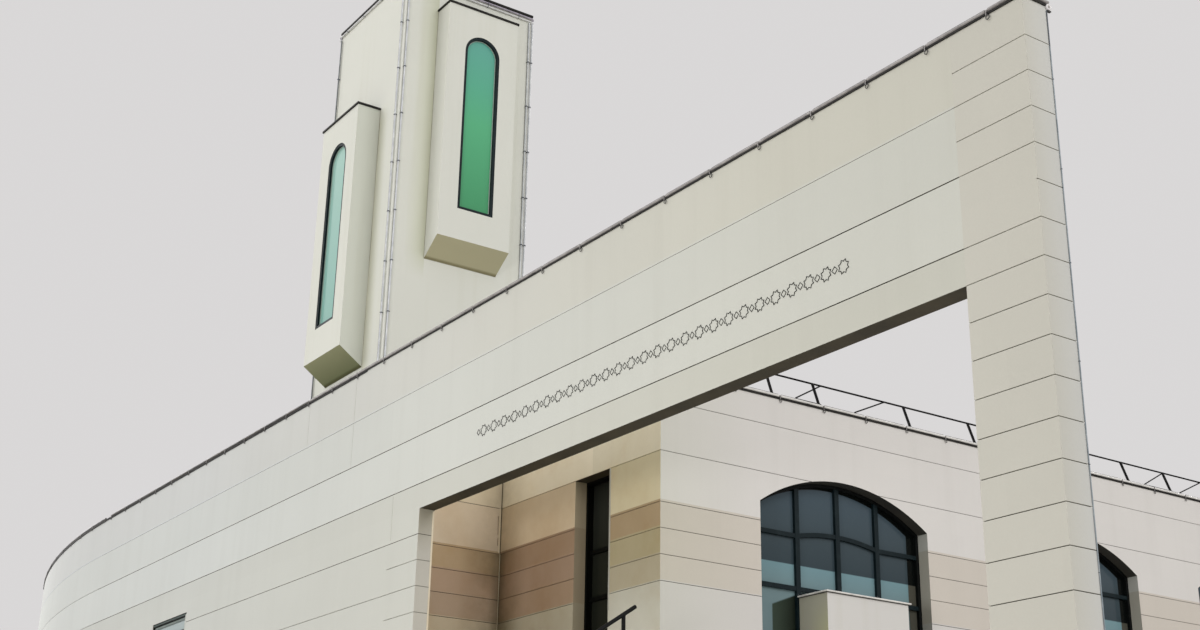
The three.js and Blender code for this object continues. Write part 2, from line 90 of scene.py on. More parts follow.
# Light. Plain and soft, as in a studio: an even pale surround, four large round lamps high up on all
# sides, and a small one low in front that reaches into the portal. The floor is plain and pale.

SURROUND, SURROUND_STRENGTH, FLOOR_TONE = "#E6E4E4", 0.88, "#BDBAB4"
# each lamp's place, the place that it faces, its diameter in m, its power in W and its beam in degrees
LAMPS = {
    "front_soft_lamp": (at(-34, -46, 40), at(-16, 0, 7), 36, 12700, 180),
    "side_soft_lamp": (at(42, 10, 34), at(-9, 8, 6), 36, 12000, 180),
    "left_soft_lamp": (at(-80, -6, 34), at(-34, 6, 6), 30, 9000, 180),
    "portal_soft_lamp": (at(1, -21, 3.6), at(-13, 2.4, 7.6), 4.4, 430, 100),
    "rear_soft_lamp": (at(-30, 70, 44), at(-20, 12, 8), 36, 15000, 180),
}


def linear(code):
    """An sRGB hex colour as the linear colour that Blender works in."""
    parts = [int(code[i:i + 2], 16) / 255 for i in (1, 3, 5)]
    return (*[p / 12.92 if p <= 0.04045 else ((p + 0.055) / 1.055) ** 2.4 for p in parts], 1)


def add(tree, kind, inputs=None, stops=None, **settings):
    """Adds one shader node: its settings, its inputs' values or links, and a ramp's colour stops."""
    made = tree.nodes.new("ShaderNode" + kind)
    for name, value in settings.items():
        setattr(made, name, value)
    for key, value in (inputs or {}).items():
        if isinstance(value, bpy.types.NodeSocket):
            tree.links.new(value, made.inputs[key])
        else:
            made.inputs[key].default_value = value
    for i, (place, colour) in enumerate(stops or []):
        stop = made.color_ramp.elements[i] if i < 2 else made.color_ramp.elements.new(place)
        stop.position = place
        stop.color = linear(colour)
    return made


world = bpy.data.worlds.new("pale_surround")
world.use_nodes = True
bpy.context.scene.world = world
world.node_tree.nodes["Background"].inputs["Color"].default_value = linear(SURROUND)
world.node_tree.nodes["Background"].inputs["Strength"].default_value = SURROUND_STRENGTH
for name, (place, target, size, power, beam_angle) in LAMPS.items():
    lamp_data = bpy.data.lights.new(name, "AREA")
    lamp_data.shape = "DISK"
    lamp_data.size = size
    lamp_data.energy = power
    lamp_data.spread = math.radians(beam_angle)
    lamp = bpy.data.objects.new(name, lamp_data)
    bpy.context.scene.collection.objects.link(lamp)
    lamp.visible_camera = False
    lamp.location = place
    lamp.rotation_mode = "QUATERNION"
    lamp.rotation_quaternion = (target - place).to_track_quat("-Z", "Y")

floor_finish = bpy.data.materials.new("pale_studio_floor")
floor_finish.use_nodes = True
floor_finish.node_tree.nodes["Principled BSDF"].inputs["Base Color"].default_value = linear(FLOOR_TONE)
floor_finish.node_tree.nodes["Principled BSDF"].inputs["Roughness"].default_value = 0.9
bpy.ops.object.select_all(action="DESELECT")
bpy.ops.mesh.primitive_plane_add(size=400, location=(0, 0, -0.002))
floor = bpy.context.object
floor.name = "studio_floor"
floor.data.materials.append(floor_finish)

# Front wall, from the portal's pier to the curved left end. Concrete walls clad with honed pale limestone
# in courses of 0.40 and 0.80 m, hung on anchors with open joints that are filled with a grey sealant.

WALL_JOINTS = [0.8 * i for i in range(1, 13)]
QUOIN_JOINTS = [0.4 * i for i in range(1, 19, 2)]
PIER_JOINTS = [0.4 * i for i in range(1, 26)]
PLAIN_COURSES, BAND_JOINTS, TOP_JOINT = 9, [8.0, 8.8], 9.6
# half the height of a joint: a common one, the hair-thin ones, those of the band above the portal
JOINT_HALF, HAIR_HALF, BAND_HALF, BEAM_HALF = 0.005, 0.003, 0.006, 0.007
JOINT_DEPTH, HAIR_DEPTH = 0.014, 0.005
# the top that the stone's tones count from, how far the stone goes past the CAD wall under the coping's
# sheet, and the width of the low stones by the portal's jamb
STONE_TOP, UNDER_SHEET, QUOIN_WIDTH = 10.4, 0.046, 1.0


def new_material(name, roughness, specular=0.5):
    """A new material: itself, its tree, its shader with roughness and shine set, and Object coordinates."""
    made = bpy.data.materials.new(name)
    made.use_nodes = True
    shader = made.node_tree.nodes["Principled BSDF"]
    shader.inputs["Roughness"].default_value = roughness
    shader.inputs["Specular IOR Level"].default_value = specular
    return made, made.node_tree, shader, add(made.node_tree, "TexCoord").outputs["Object"]


def lay_on(tree, shader, colour, height=None, strength=0.0, distance=0.0):
    """Gives a shader its colour and, where a height is given, that relief."""
    tree.links.new(colour, shader.inputs["Base Color"])
    if height:
        relief = add(tree, "Bump", {"Strength": strength, "Distance": distance, "Height": height})
        tree.links.new(relief.outputs[0], shader.inputs["Normal"])


def course_tones(tree, axes, tones):
    """The stone's tone from each height upwards, given as heights in metres and colours."""
    rise = add(tree, "Math", {0: axes.outputs["Z"], 1: STONE_TOP}, operation="DIVIDE")
    stops = [(height / STONE_TOP, code) for height, code in tones]
    made = add(tree, "ValToRGB", {0: rise.outputs[0]}, stops=stops)
    made.color_ramp.interpolation = "CONSTANT"
    return made.outputs[0]


def lay_stains_and_light(tree, axes, colour, *stain_and_light_layers):
    """Lays stain, painted light and painted shade over a colour, one layer after another.

    Each layer starts with what it does: a hex code or another node's colour covers, three factors tint. Then come
    its limits: an axis and the two places between which it grows from 0 to 1, or to other shares, or a share
    given by another node. The layer shows where all its limits do.
    """
    for by, *limits in stain_and_light_layers:
        share = None
        for limit in limits:
            if isinstance(limit, tuple):
                axis, start, end, first, last = (*limit, 0.0, 1.0)[:5]
                grown = add(tree, "MapRange", {0: axes.outputs[axis], 1: start, 2: end, 3: first, 4: last})
                limit = grown.outputs[0]
            if share is not None:
                limit = add(tree, "Math", {0: share, 1: limit}, operation="MULTIPLY").outputs[0]
            share = limit
        tints = isinstance(by, tuple)
        over = (*by, 1) if tints else linear(by) if isinstance(by, str) else by
        colour = add(tree, "Mix", {0: share, 6: colour, 7: over}, data_type="RGBA",
                     blend_type="MULTIPLY" if tints else "MIX").outputs[2]
    return colour


def facing(tree, axis, sign=1):
    """A share that is 1 on the faces that look along an axis."""
    normal = add(tree, "SeparateXYZ", {0: add(tree, "NewGeometry").outputs["Normal"]})
    return add(tree, "MapRange", {0: normal.outputs[axis], 1: 0.45 * sign, 2: 0.55 * sign}).outputs[0]


def limestone(name, tones, course=0.8, stone=1.6, weather_and_light=None):
    """Honed limestone: even and matt, with a cloudy tone, stones that differ a little, and rain streaks.

    Course and stone are the height and the length of one stone. The clouds are about 2 m across. The grain
    is really finer than 1 mm and is drawn about 25 mm coarse, as it wouldn't show otherwise.
    """
    made, tree, shader, place = new_material(name, 0.82, 0.3)
    axes = add(tree, "SeparateXYZ", {0: place})
    base = course_tones(tree, axes, tones)
    # each stone has a tone of its own: a random value for its course and its place along the wall
    row = add(tree, "Math", {0: axes.outputs["Z"], 1: course}, operation="SNAP")
    along = add(tree, "Math", {0: axes.outputs["X"], 1: axes.outputs["Y"]}, operation="ADD")
    stagger = add(tree, "Math", {0: row.outputs[0], 1: 0.73, 2: along.outputs[0]}, operation="MULTIPLY_ADD")
    column = add(tree, "Math", {0: stagger.outputs[0], 1: stone}, operation="SNAP")
    spot = add(tree, "CombineXYZ", {0: column.outputs[0], 1: row.outputs[0]})
    own = add(tree, "TexWhiteNoise", {"Vector": spot.outputs[0]}, noise_dimensions="2D")
    cloud = add(tree, "TexNoise", {"Vector": place, "Scale": 0.45, "Detail": 4, "Roughness": 0.55})
    grain = add(tree, "TexNoise", {"Vector": place, "Scale": 38, "Detail": 3, "Roughness": 0.7})
    tone = 0.972
    for source, amount in ((own.outputs["Value"], 0.016), (cloud.outputs[0], 0.07), (grain.outputs[0], 0.06)):
        tone = add(tree, "Math", {0: source, 1: amount, 2: tone}, operation="MULTIPLY_ADD").outputs[0]
    tone = add(tree, "Math", {0: tone, 1: -0.065}, operation="ADD").outputs[0]
    toned = add(tree, "Mix", {0: 1.0, 6: base, 7: tone}, data_type="RGBA", blend_type="MULTIPLY").outputs[2]
    # rain streaks: tall thin noise, strongest under the coping
    long = add(tree, "Mapping", {0: place, 3: (2.6, 2.6, 0.11)})
    run = add(tree, "TexNoise", {"Vector": long.outputs[0], "Scale": 1.0, "Detail": 5, "Roughness": 0.6})
    streak = add(tree, "MapRange", {0: run.outputs[0], 1: 0.5, 2: 0.78, 3: 0.0, 4: 0.08}).outputs[0]
    colour = lay_stains_and_light(tree, axes, toned, ("#8E8B7C", streak, ("Z", 5.5, STONE_TOP, 0.35, 1.0)))
    # the function given lays on further stains, painted light and painted shade, as each wall needs
    if weather_and_light:
        colour = weather_and_light(tree, axes, colour)
    lay_on(tree, shader, colour, grain.outputs[0], 0.35, 0.002)
    return made


def patchy(name, dark, light, scale, detail, breakup, start, end, roughness, specular=0.5):
    """A dull finish that goes from a dark to a light tone in patches, 1 m divided by the scale across.

    Detail and breakup say how ragged the patches are, start and end where in them the tone turns.
    """
    made, tree, shader, place = new_material(name, roughness, specular)
    patch = add(tree, "TexNoise", {"Vector": place, "Scale": scale, "Detail": detail, "Roughness": breakup})
    tone = add(tree, "ValToRGB", {0: patch.outputs[0]}, stops=[(start, dark), (end, light)])
    lay_on(tree, shader, tone.outputs[0])
    return made


def joint_sealant(name, code, dusty):
    """Silicone in the joints: dull dark grey, paler where dust has settled on it."""
    return patchy(name, code, dusty, 0.9, 6, 0.7, 0.4, 0.62, 0.75)


def only(piece):
    """Selects one piece alone and makes it active."""
    bpy.ops.object.select_all(action="DESELECT")
    piece.select_set(True)
    bpy.context.view_layer.objects.active = piece


def named(name):
    """Names the object that an operator has just added, and puts its place and size in its mesh."""
    made = bpy.context.object
    made.name = made.data.name = name
    bpy.ops.object.transform_apply(location=True, rotation=True, scale=True)
    return made


def block(name, low, high):
    """A box primitive added at its size and place."""
    low, high = Vector(low), Vector(high)
    bpy.ops.object.select_all(action="DESELECT")
    bpy.ops.mesh.primitive_cube_add(size=1, location=(low + high) / 2, scale=high - low)
    return named(name)


def open_edit(piece, kind="FACE"):
    """Into edit mode on one piece, with nothing of it selected."""
    only(piece)
    bpy.ops.object.mode_set(mode="EDIT")
    bpy.ops.mesh.select_mode(type=kind)
    bpy.ops.mesh.select_all(action="DESELECT")


def close_edit():
    bpy.ops.object.mode_set(mode="OBJECT")


def pick(piece, wanted):
    """In edit mode, selects just the faces whose middle and normal pass the test."""
    mesh = bmesh.from_edit_mesh(piece.data)
    for face in mesh.faces:
        face.select_set(bool(wanted(face.calc_center_median(), face.normal)))
    bmesh.update_edit_mesh(piece.data)


def give_finish(piece, number):
    """In edit mode, gives the selected faces another of the piece's finishes, counted from 0."""
    piece.active_material_index = number
    bpy.ops.object.material_slot_assign()


def slice_at(place, normal):
    """In edit mode, cuts the whole mesh by a plane and keeps both sides."""
    bpy.ops.mesh.select_all(action="SELECT")
    bpy.ops.mesh.bisect(plane_co=place, plane_no=normal)


def push_out(distance):
    """In edit mode, extrudes the selected faces along their normals, or into the piece if it is negative."""
    bpy.ops.mesh.extrude_region_shrink_fatten(
        TRANSFORM_OT_shrink_fatten={"value": distance, "use_even_offset": True})


def rake_joints(piece, levels, half=JOINT_HALF, where=lambda c, n: True):
    """Cuts a course joint into every upright face at these levels, and gives its bottom the second finish."""
    open_edit(piece)
    for z in levels:
        slice_at((0, 0, z - half), (0, 0, 1))
        slice_at((0, 0, z + half), (0, 0, 1))
    pick(piece, lambda c, n: abs(n.z) < 0.3 and any(abs(c.z - z) < half for z in levels) and where(c, n))
    push_out(-JOINT_DEPTH)
    give_finish(piece, 1)
    close_edit()


def rake_front_joints(piece):
    """The long wall's courses: plain ones up to the band, its two wider joints, and a hair-thin one on top."""
    rake_joints(piece, WALL_JOINTS[:PLAIN_COURSES])
    rake_joints(piece, [TOP_JOINT], half=HAIR_HALF)
    rake_joints(piece, BAND_JOINTS, half=BAND_HALF)


def head_joint(piece, x, foot, top):
    """Cuts a hair-thin upright joint between two stones into the front of a wall."""
    face = pier_low.y
    open_edit(piece)
    for edge in (x - HAIR_HALF, x + HAIR_HALF):
        slice_at((edge, 0, 0), (1, 0, 0))
    for z in (foot, top):
        slice_at((0, 0, z), (0, 0, 1))
    pick(piece, lambda c, n: n.y < -0.5 and abs(c.x - x) < HAIR_HALF and abs(c.y - face) < 0.001
         and foot < c.z < top)
    push_out(-HAIR_DEPTH)
    close_edit()


def combine(piece, other, operation="DIFFERENCE"):
    """Takes another block's shape out of a piece, as a saw or a mould would, or makes one solid of both."""
    only(piece)
    shaping = piece.modifiers.new("shaping", "BOOLEAN")
    shaping.operation = operation
    shaping.solver = "EXACT"
    shaping.object = other
    bpy.ops.object.modifier_apply(modifier=shaping.name)
    bpy.data.objects.remove(other)


def finish_with(piece, *finishes):
    """Gives a piece its finishes, and gives it back."""
    for finish in finishes:
        piece.data.materials.append(finish)
    return piece


def install(piece, slot, *nodes):
    """Fixes a finished piece to the building, in the place of its CAD solids."""
    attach(piece, "root")
    if nodes:
        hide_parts(*nodes)


def painted_light_on_front(tree, axes, colour):
    """Painted light and shade: a little darker towards the portal, paler and cooler towards the curve and at the
    far end, and dull and yellow on the portal's jamb, most near the beam.
    """
    leftwards, jamb_face = ("X", at_x(-4), at_x(-22)), facing(tree, "X")
    return lay_stains_and_light(
        tree, axes, colour,
        ((0.99, 0.988, 0.975), ("X", at_x(-22), at_x(-5))),
        ((1.055, 1.08, 1.14), leftwards),
        ((1.0, 1.01, 1.065), leftwards, ("Z", TOP_JOINT - 0.01, TOP_JOINT + 0.01)),
        ((1.17, 1.165, 1.165), ("X", at_x(-31.5), at_x(-36.5))),
        ((0.93, 0.885, 0.86), jamb_face),
        ((0.8, 0.78, 0.7), jamb_face, ("Z", 6.9, 7.5)))


def painted_light_on_pier(tree, axes, colour):
    """Painted light: the pier's front a little lighter, and its end lighter and bluer, most of all towards its
    rear edge.
    """
    return lay_stains_and_light(
        tree, axes, colour,
        ((1.05, 1.052, 1.06), facing(tree, "Y", -1)),
        ((1.07, 1.1, 1.2), facing(tree, "X"), ("Y", pier_low.y - 0.1, pier_high.y)))


# the front's stone reads as a cool grey white, the pier's as a little yellower, and their joints as
# fine grey lines that are nearly black where the sealant is fresh
front_stone = limestone("honed_limestone_front", [
    (0.0, "#C4C4BA"), (7.6, "#C3C3B9"), (8.0, "#C9CAC2"), (8.8, "#C7C8C0"), (TOP_JOINT, "#C6C5BA")],
    weather_and_light=painted_light_on_front)
pier_stone = limestone("honed_limestone_pier", [(0.0, "#C0BEB3"), (STONE_TOP, "#C0BEB3")],
                       course=0.4, stone=1.0, weather_and_light=painted_light_on_pier)
sealant = joint_sealant("grey_joint_sealant", "#45443F", "#908D81")
dark_sealant = joint_sealant("dark_joint_sealant", "#2B2A25", "#5D5A50")


def clad(name, node):
    """A wall's block of stone, which runs up to just under the coping's sheet."""
    low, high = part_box(node)
    return block(name, low, high + Vector((0, 0, UNDER_SHEET)))


pier = finish_with(clad("portal_pier_cladding", "portal_pier"), pier_stone, dark_sealant)
BEAM_LEVEL = 8.4
rake_joints(pier, [z for z in PIER_JOINTS if abs(z - BEAM_LEVEL) > 0.01])
rake_joints(pier, [BEAM_LEVEL], where=lambda c, n: n.x > 0.5)
install(pier, "wall_stone", "portal_pier")

beam = finish_with(clad("portal_beam_cladding", "portal_beam"), front_stone, sealant)
rake_joints(beam, [TOP_JOINT], half=HAIR_HALF)
rake_joints(beam, BAND_JOINTS, half=BEAM_HALF)
install(beam, "wall_stone", "portal_beam")

small_low, small_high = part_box("front_window_frame")
through = Vector((0, 1, 0))
long_wall = finish_with(clad("front_wall_cladding", "front_wall"), front_stone, sealant)
combine(long_wall, block("window_cutter", small_low - through, small_high + through))
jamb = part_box("front_wall")[1].x
rake_front_joints(long_wall)
open_edit(long_wall)
slice_at((jamb - QUOIN_WIDTH, 0, 0), (1, 0, 0))
close_edit()
rake_joints(long_wall, QUOIN_JOINTS, where=lambda c, n: c.x > jamb - QUOIN_WIDTH)
for x, foot, top in ((-13.33, 7.25, 7.97), (-15.0, 8.84, 10.36), (-16.9, 9.64, 10.36)):
    head_joint(long_wall, at_x(x), foot, top)
install(long_wall, "wall_stone", "front_wall")


def upright_section(name, middle, turn, foot, top, thick):
    """A flat upright section, standing square to the wall's run at the given place."""
    bpy.ops.object.select_all(action="DESELECT")
    bpy.ops.mesh.primitive_plane_add(size=1, location=(middle.x, middle.y, (foot + top) / 2),
                                     rotation=(0, math.pi / 2, turn))
    bpy.context.object.scale = (top - foot, thick, 1)
    return named(name)


def turn_faces_out():
    """In edit mode, turns all faces of a closed shell outwards."""
    bpy.ops.mesh.select_all(action="SELECT")
    bpy.ops.mesh.normals_make_consistent(inside=False)


def spin_all(piece, centre, angle, steps):
    """Spins a flat section round an upright axis into a solid whose faces point outwards."""
    open_edit(piece)
    bpy.ops.mesh.select_all(action="SELECT")
    bpy.ops.mesh.spin(steps=steps, angle=angle, center=centre, axis=(0, 0, 1))
    bpy.ops.mesh.select_all(action="SELECT")
    bpy.ops.mesh.remove_doubles(threshold=0.0001)
    turn_faces_out()
    close_edit()
    only(piece)


# the curved end: a wide bend from the long wall, then a tight corner to the left wall
WALL_THICK, BEND_RADIUS, BEND_ANGLE, CORNER_RADIUS = 0.26, 34.1, math.radians(15.5), 3.0
CORNER_ANGLE = math.pi / 2 - BEND_ANGLE
bend_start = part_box("front_wall")[0].x
bend_centre = Vector((bend_start, pier_low.y + BEND_RADIUS, 0))
outwards = Vector((-math.sin(BEND_ANGLE), -math.cos(BEND_ANGLE), 0))
corner_centre = bend_centre + outwards * (BEND_RADIUS - CORNER_RADIUS)
WALL_LEFT = corner_centre.x - CORNER_RADIUS
# each curve: its centre, its radius, the turn at which it starts, its angle and its number of flats
CURVES = ((bend_centre, BEND_RADIUS, 0.0, BEND_ANGLE, 30),
          (corner_centre, CORNER_RADIUS, -BEND_ANGLE, CORNER_ANGLE, 48))

wall_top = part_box("front_wall")[1].z + UNDER_SHEET
for name, (centre, radius, turn, angle, steps), nodes in (
        ("curved_wall_cladding", CURVES[0], ("curved_wall_1", "curved_wall_2")),
        ("corner_wall_cladding", CURVES[1], ("corner_wall_1", "corner_wall_2"))):
    spot = centre + Matrix.Rotation(turn, 4, "Z") @ Vector((0, -1, 0)) * (radius - WALL_THICK / 2)
    wall = upright_section(name, spot, turn, 0, wall_top, WALL_THICK)
    spin_all(wall, centre, angle, steps)
    finish_with(wall, front_stone, sealant)
    rake_front_joints(wall)
    only(wall)
    bpy.ops.object.shade_smooth_by_angle(angle=math.radians(20))
    install(wall, "wall_stone", *nodes)

LEFT_WINDOWS, SMALL_SILL, SMALL_HEAD, SMALL_WIDTH = (8.0, 13.0, 18.0), 5.6, 7.4, 1.92
left_low, left_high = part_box("left_wall")
left_wall = finish_with(clad("left_wall_cladding", "left_wall"), front_stone, sealant)
for y in LEFT_WINDOWS:
    combine(left_wall, block("window_cutter", (left_low.x - 1, at_y(y - SMALL_WIDTH / 2), SMALL_SILL),
                             (left_high.x + 1, at_y(y + SMALL_WIDTH / 2), SMALL_HEAD)))
rake_joints(left_wall, WALL_JOINTS)
install(left_wall, "wall_stone", "left_wall")

# Hall walls. Concrete clad with the same limestone, with a band of three low courses of a darker, pinker
# bed at the windows. The recess behind the portal is stained brown and ochre by damp.

HALL_JOINTS = [0.8, 1.6, 2.4, 3.2, 4.0, 4.8, 5.6, 6.4, 6.8, 7.2, 7.6, 8.4, 9.2]
ARCH_WIDTH, ARCH_SILL, ARCH_SPRINGING, ARCH_RISE = 3.644, 4.8, 7.92, 0.565
ARCH_RADIUS = (ARCH_WIDTH ** 2 / 4 + ARCH_RISE ** 2) / (2 * ARCH_RISE)
RIGHT_ARCHES = (6.423, 11.863, 17.303)
ARCH_PITCH, HEADS_ABOVE = 5.44, 7.0
BAND_FOOT, BAND_TOP = 6.4, 7.6


def arch_block(name, near, far, centre, inset=0.0, jamb=None, along="X"):
    """A block with a segmental head: a lying cylinder, trimmed at the jambs and the sill."""
    jamb = inset if jamb is None else jamb
    reach = far - near
    middle = Vector((near + reach / 2, centre, 0)) if along == "X" else Vector((centre, near + reach / 2, 0))
    middle.z = ARCH_SPRINGING + ARCH_RISE - ARCH_RADIUS
    side = Vector((0, 1, 0)) if along == "X" else Vector((1, 0, 0))
    bpy.ops.object.select_all(action="DESELECT")
    bpy.ops.mesh.primitive_cylinder_add(
        vertices=180, radius=ARCH_RADIUS - inset, depth=reach, location=middle,
        rotation=(0, math.pi / 2, 0) if along == "X" else (math.pi / 2, 0, 0))
    made = named(name)
    half = ARCH_WIDTH / 2 - jamb
    open_edit(made)
    for spot, normal in ((middle + side * half, side), (middle - side * half, -side),
                         (Vector((0, 0, ARCH_SILL + inset)), Vector((0, 0, -1)))):
        bpy.ops.mesh.select_all(action="SELECT")
        bpy.ops.mesh.bisect(plane_co=spot, plane_no=normal, use_fill=True, clear_outer=True)
    close_edit()
    return made


def line_heads_with_painted_shade(piece):
    """Gives the undersides of the openings' heads the third finish, their dark lining, which is also painted
    shade.
    """
    open_edit(piece)
    pick(piece, lambda c, n: n.z < -0.3 and c.z > HEADS_ABOVE)
    give_finish(piece, 2)
    close_edit()


def lining_with_painted_shade(name, code, damp):
    """Dull near-black paint on the undersides of openings, uneven where damp has lifted it, and darker than the
    paint alone as painted shade under the heads.
    """
    return patchy(name, code, damp, 1.3, 5, 0.6, 0.3, 0.75, 0.7)


def cloudy_bed(tree, axes, colour):
    """Rust and ochre clouds in the bed of the recess's stones, which cross from course to course."""
    place = add(tree, "TexCoord").outputs["Object"]
    cloud = add(tree, "TexNoise", {"Vector": place, "Scale": 0.9, "Detail": 5, "Roughness": 0.6})
    warm = add(tree, "MapRange", {0: cloud.outputs[0], 1: 0.5, 2: 0.75}).outputs[0]
    pale = add(tree, "MapRange", {0: cloud.outputs[0], 1: 0.5, 2: 0.3}).outputs[0]
    return lay_stains_and_light(tree, axes, colour, ((0.9, 0.84, 0.76), warm), ((1.06, 1.07, 1.1), pale))


def damp_near(tree, axes, colour, axis, corner, reach):
    """Brown damp that has spread from the recess's inner corner, patchy and worst at the window band."""
    place = add(tree, "TexCoord").outputs["Object"]
    cloud = add(tree, "TexNoise", {"Vector": place, "Scale": 1.1, "Detail": 6, "Roughness": 0.65})
    patch = add(tree, "MapRange", {0: cloud.outputs[0], 1: 0.35, 2: 0.65, 3: 0.15, 4: 0.85}).outputs[0]
    return lay_stains_and_light(
        tree, axes, colour,
        ("#6F6247", (axis, corner + reach, corner), ("Z", BAND_TOP - 0.01, BAND_TOP + 0.01, 1.0, 0.45), patch),
        ("#5B5138", (axis, corner + reach * 0.24, corner, 0.0, 0.62),
         ("Z", BAND_TOP + 0.005, BAND_TOP - 0.005), ("Z", 5.9, 6.5)))


def stains_and_painted_reveal_shade(tree, axes, colour):
    """Rosier stone left of the slot window, clouds in its bed, painted shade on the slot's jamb, and damp by the
    inner corner.
    """
    left = add(tree, "Math", {0: axes.outputs["X"], 1: (slot_low.x + slot_high.x) / 2}, operation="LESS_THAN")
    colour = lay_stains_and_light(tree, axes, colour, (course_tones(tree, axes, LEFT_OF_SLOT), left.outputs[0]))
    colour = cloudy_bed(tree, axes, colour)
    # painted shade on the slot's jamb
    colour = lay_stains_and_light(tree, axes, colour, ("#A2977E", facing(tree, "X"), 0.8))
    return damp_near(tree, axes, colour, "X", recess_corner.x, 0.9)


def damp_side(tree, axes, colour):
    """The recess's side wall: clouds in the stone, and damp by the inner corner."""
    return damp_near(tree, axes, cloudy_bed(tree, axes, colour), "Y", recess_corner.y, -0.8)


def painted_shade_on_hall(tree, axes, colour):
    """Painted shade: the hall's stone a little darker and greener by its front corner, and darker in the window
    reveals.
    """
    edge = right_low.y + 1.9
    return lay_stains_and_light(
        tree, axes, colour,
        ((0.93, 0.95, 0.9), ("Y", edge, right_low.y)),
        ((0.66, 0.69, 0.66), facing(tree, "Y", -1), ("Y", edge, edge + 0.1)))


# the hall's stone reads as warm white above a pinkish grey band, the recess's as buff and brown under cream that
# is partly painted light, and the undersides of the openings as nearly black, partly painted shade
slot_low, slot_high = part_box("slot_window_frame")
recess_corner = Vector((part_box("recess_side_wall")[1].x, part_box("recess_back_wall")[0].y, 0))
right_low, right_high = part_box("right_wall")
# the top two tones, from the band's top and from 8.4 m, are painted paler than the stone is: painted light where
# the beam shades the wall
LEFT_OF_SLOT = [(0.0, "#BAB29C"), (BAND_FOOT, "#AC937A"), (6.8, "#AB917A"), (7.2, "#A88D73"),
                (BAND_TOP, "#DAC6A8"), (8.4, "#F7ECD3")]
hall_stone = limestone("honed_limestone_hall", [
    (0.0, "#CFCCC8"), (BAND_FOOT, "#CAC3B9"), (BAND_TOP, "#D6D3CF")],
    course=0.4, stone=1.4, weather_and_light=painted_shade_on_hall)
# its top two tones, from the band's top and from 8.4 m, are painted paler than the stone is: painted light where
# the beam shades the wall
recess_stone = limestone("honed_limestone_recess", [
    (0.0, "#C9C6B6"), (BAND_FOOT, "#BAB096"), (6.8, "#B6AA88"), (7.2, "#B29C7B"), (BAND_TOP, "#DCD0AE"),
    (8.4, "#F0E6CC")], course=0.4, stone=1.2, weather_and_light=stains_and_painted_reveal_shade)
side_stone = limestone("honed_limestone_recess_side", [
    (0.0, "#D3C4A9"), (BAND_FOOT, "#C1AA92"), (6.8, "#C2A88F"), (7.2, "#C5AD8C"), (BAND_TOP, "#E1D0B7"),
    (8.4, "#E5D7BC")], course=0.4, stone=1.2, weather_and_light=damp_side)
# the linings are dark paint, made darker still as painted shade under the heads
lining = lining_with_painted_shade("brown_lining_paint_and_painted_shade", "#2F2A1B", "#473F2B")
arch_lining_and_painted_shade = lining_with_painted_shade("grey_black_lining_paint_and_painted_shade", "#242320", "#3C3A32")
for piece in (beam, long_wall, left_wall):
    finish_with(piece, lining)
    line_heads_with_painted_shade(piece)

right_wall = clad("right_wall_cladding", "right_wall")
finish_with(right_wall, hall_stone, dark_sealant, arch_lining_and_painted_shade, recess_stone)
open_edit(right_wall)
pick(right_wall, lambda c, n: n.y < -0.5)
give_finish(right_wall, 3)
close_edit()
for y in RIGHT_ARCHES:
    combine(right_wall, arch_block("window_cutter", right_low.x - 1, right_high.x + 1, at_y(y)))
line_heads_with_painted_shade(right_wall)
rake_joints(right_wall, HALL_JOINTS, where=lambda c, n: n.x > 0.5 or c.y < right_low.y + 0.3)
install(right_wall, "hall_stone", "right_wall")

back_low, back_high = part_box("back_wall")
BACK_ARCHES = [(WALL_LEFT + right_high.x) / 2 + ARCH_PITCH * i for i in range(-2, 3)]
back_wall = finish_with(clad("back_wall_cladding", "back_wall"), hall_stone, dark_sealant, arch_lining_and_painted_shade)
for x in BACK_ARCHES:
    combine(back_wall, arch_block("window_cutter", back_low.y - 1, back_high.y + 1, x, along="Y"))
line_heads_with_painted_shade(back_wall)
rake_joints(back_wall, HALL_JOINTS, where=lambda c, n: n.y > 0.5)
install(back_wall, "hall_stone", "back_wall")

recess_wall = clad("recess_back_wall_cladding", "recess_back_wall")
finish_with(recess_wall, recess_stone, dark_sealant, lining)
combine(recess_wall, block("window_cutter", slot_low - through, slot_high + through))
line_heads_with_painted_shade(recess_wall)
rake_joints(recess_wall, HALL_JOINTS, where=lambda c, n: abs(n.x) < 0.5)
install(recess_wall, "hall_stone", "recess_back_wall")

side_wall = finish_with(clad("recess_side_wall_cladding", "recess_side_wall"), side_stone, dark_sealant)
rake_joints(side_wall, HALL_JOINTS)
# two slits behind the torn sealant of the inner corner
for y0, y1, z0, z1 in ((-0.075, -0.052, 7.93, 8.26), (-0.066, -0.05, 7.74, 7.88)):
    combine(side_wall, block("slit_cutter", recess_corner + Vector((-0.025, y0, z0)),
                             recess_corner + Vector((0.1, y1, z1))))
install(side_wall, "hall_stone", "recess_side_wall")

# sealant beads: a dark one with a pale lip in the recess's corner, torn open in two places, one on the
# slot window's right arris and one on the rear arris of the portal's jamb
pale_bead = joint_sealant("pale_sealant_bead", "#D2C3A6", "#E0D5BD")
brown_bead = joint_sealant("brown_sealant_bead", "#4A3D26", "#6B5D40")
grey_bead = joint_sealant("grey_sealant_bead", "#ABA99F", "#C4C1B6")


def trim_edges(piece, width, segments=2):
    """Rounds a piece's sharp edges by a bevel of the given width, and gives the piece back."""
    only(piece)
    rounding = piece.modifiers.new("rounding", "BEVEL")
    rounding.width = width
    rounding.segments = segments
    rounding.limit_method = "ANGLE"
    rounding.angle_limit = math.radians(40)
    bpy.ops.object.modifier_apply(modifier=rounding.name)
    return piece


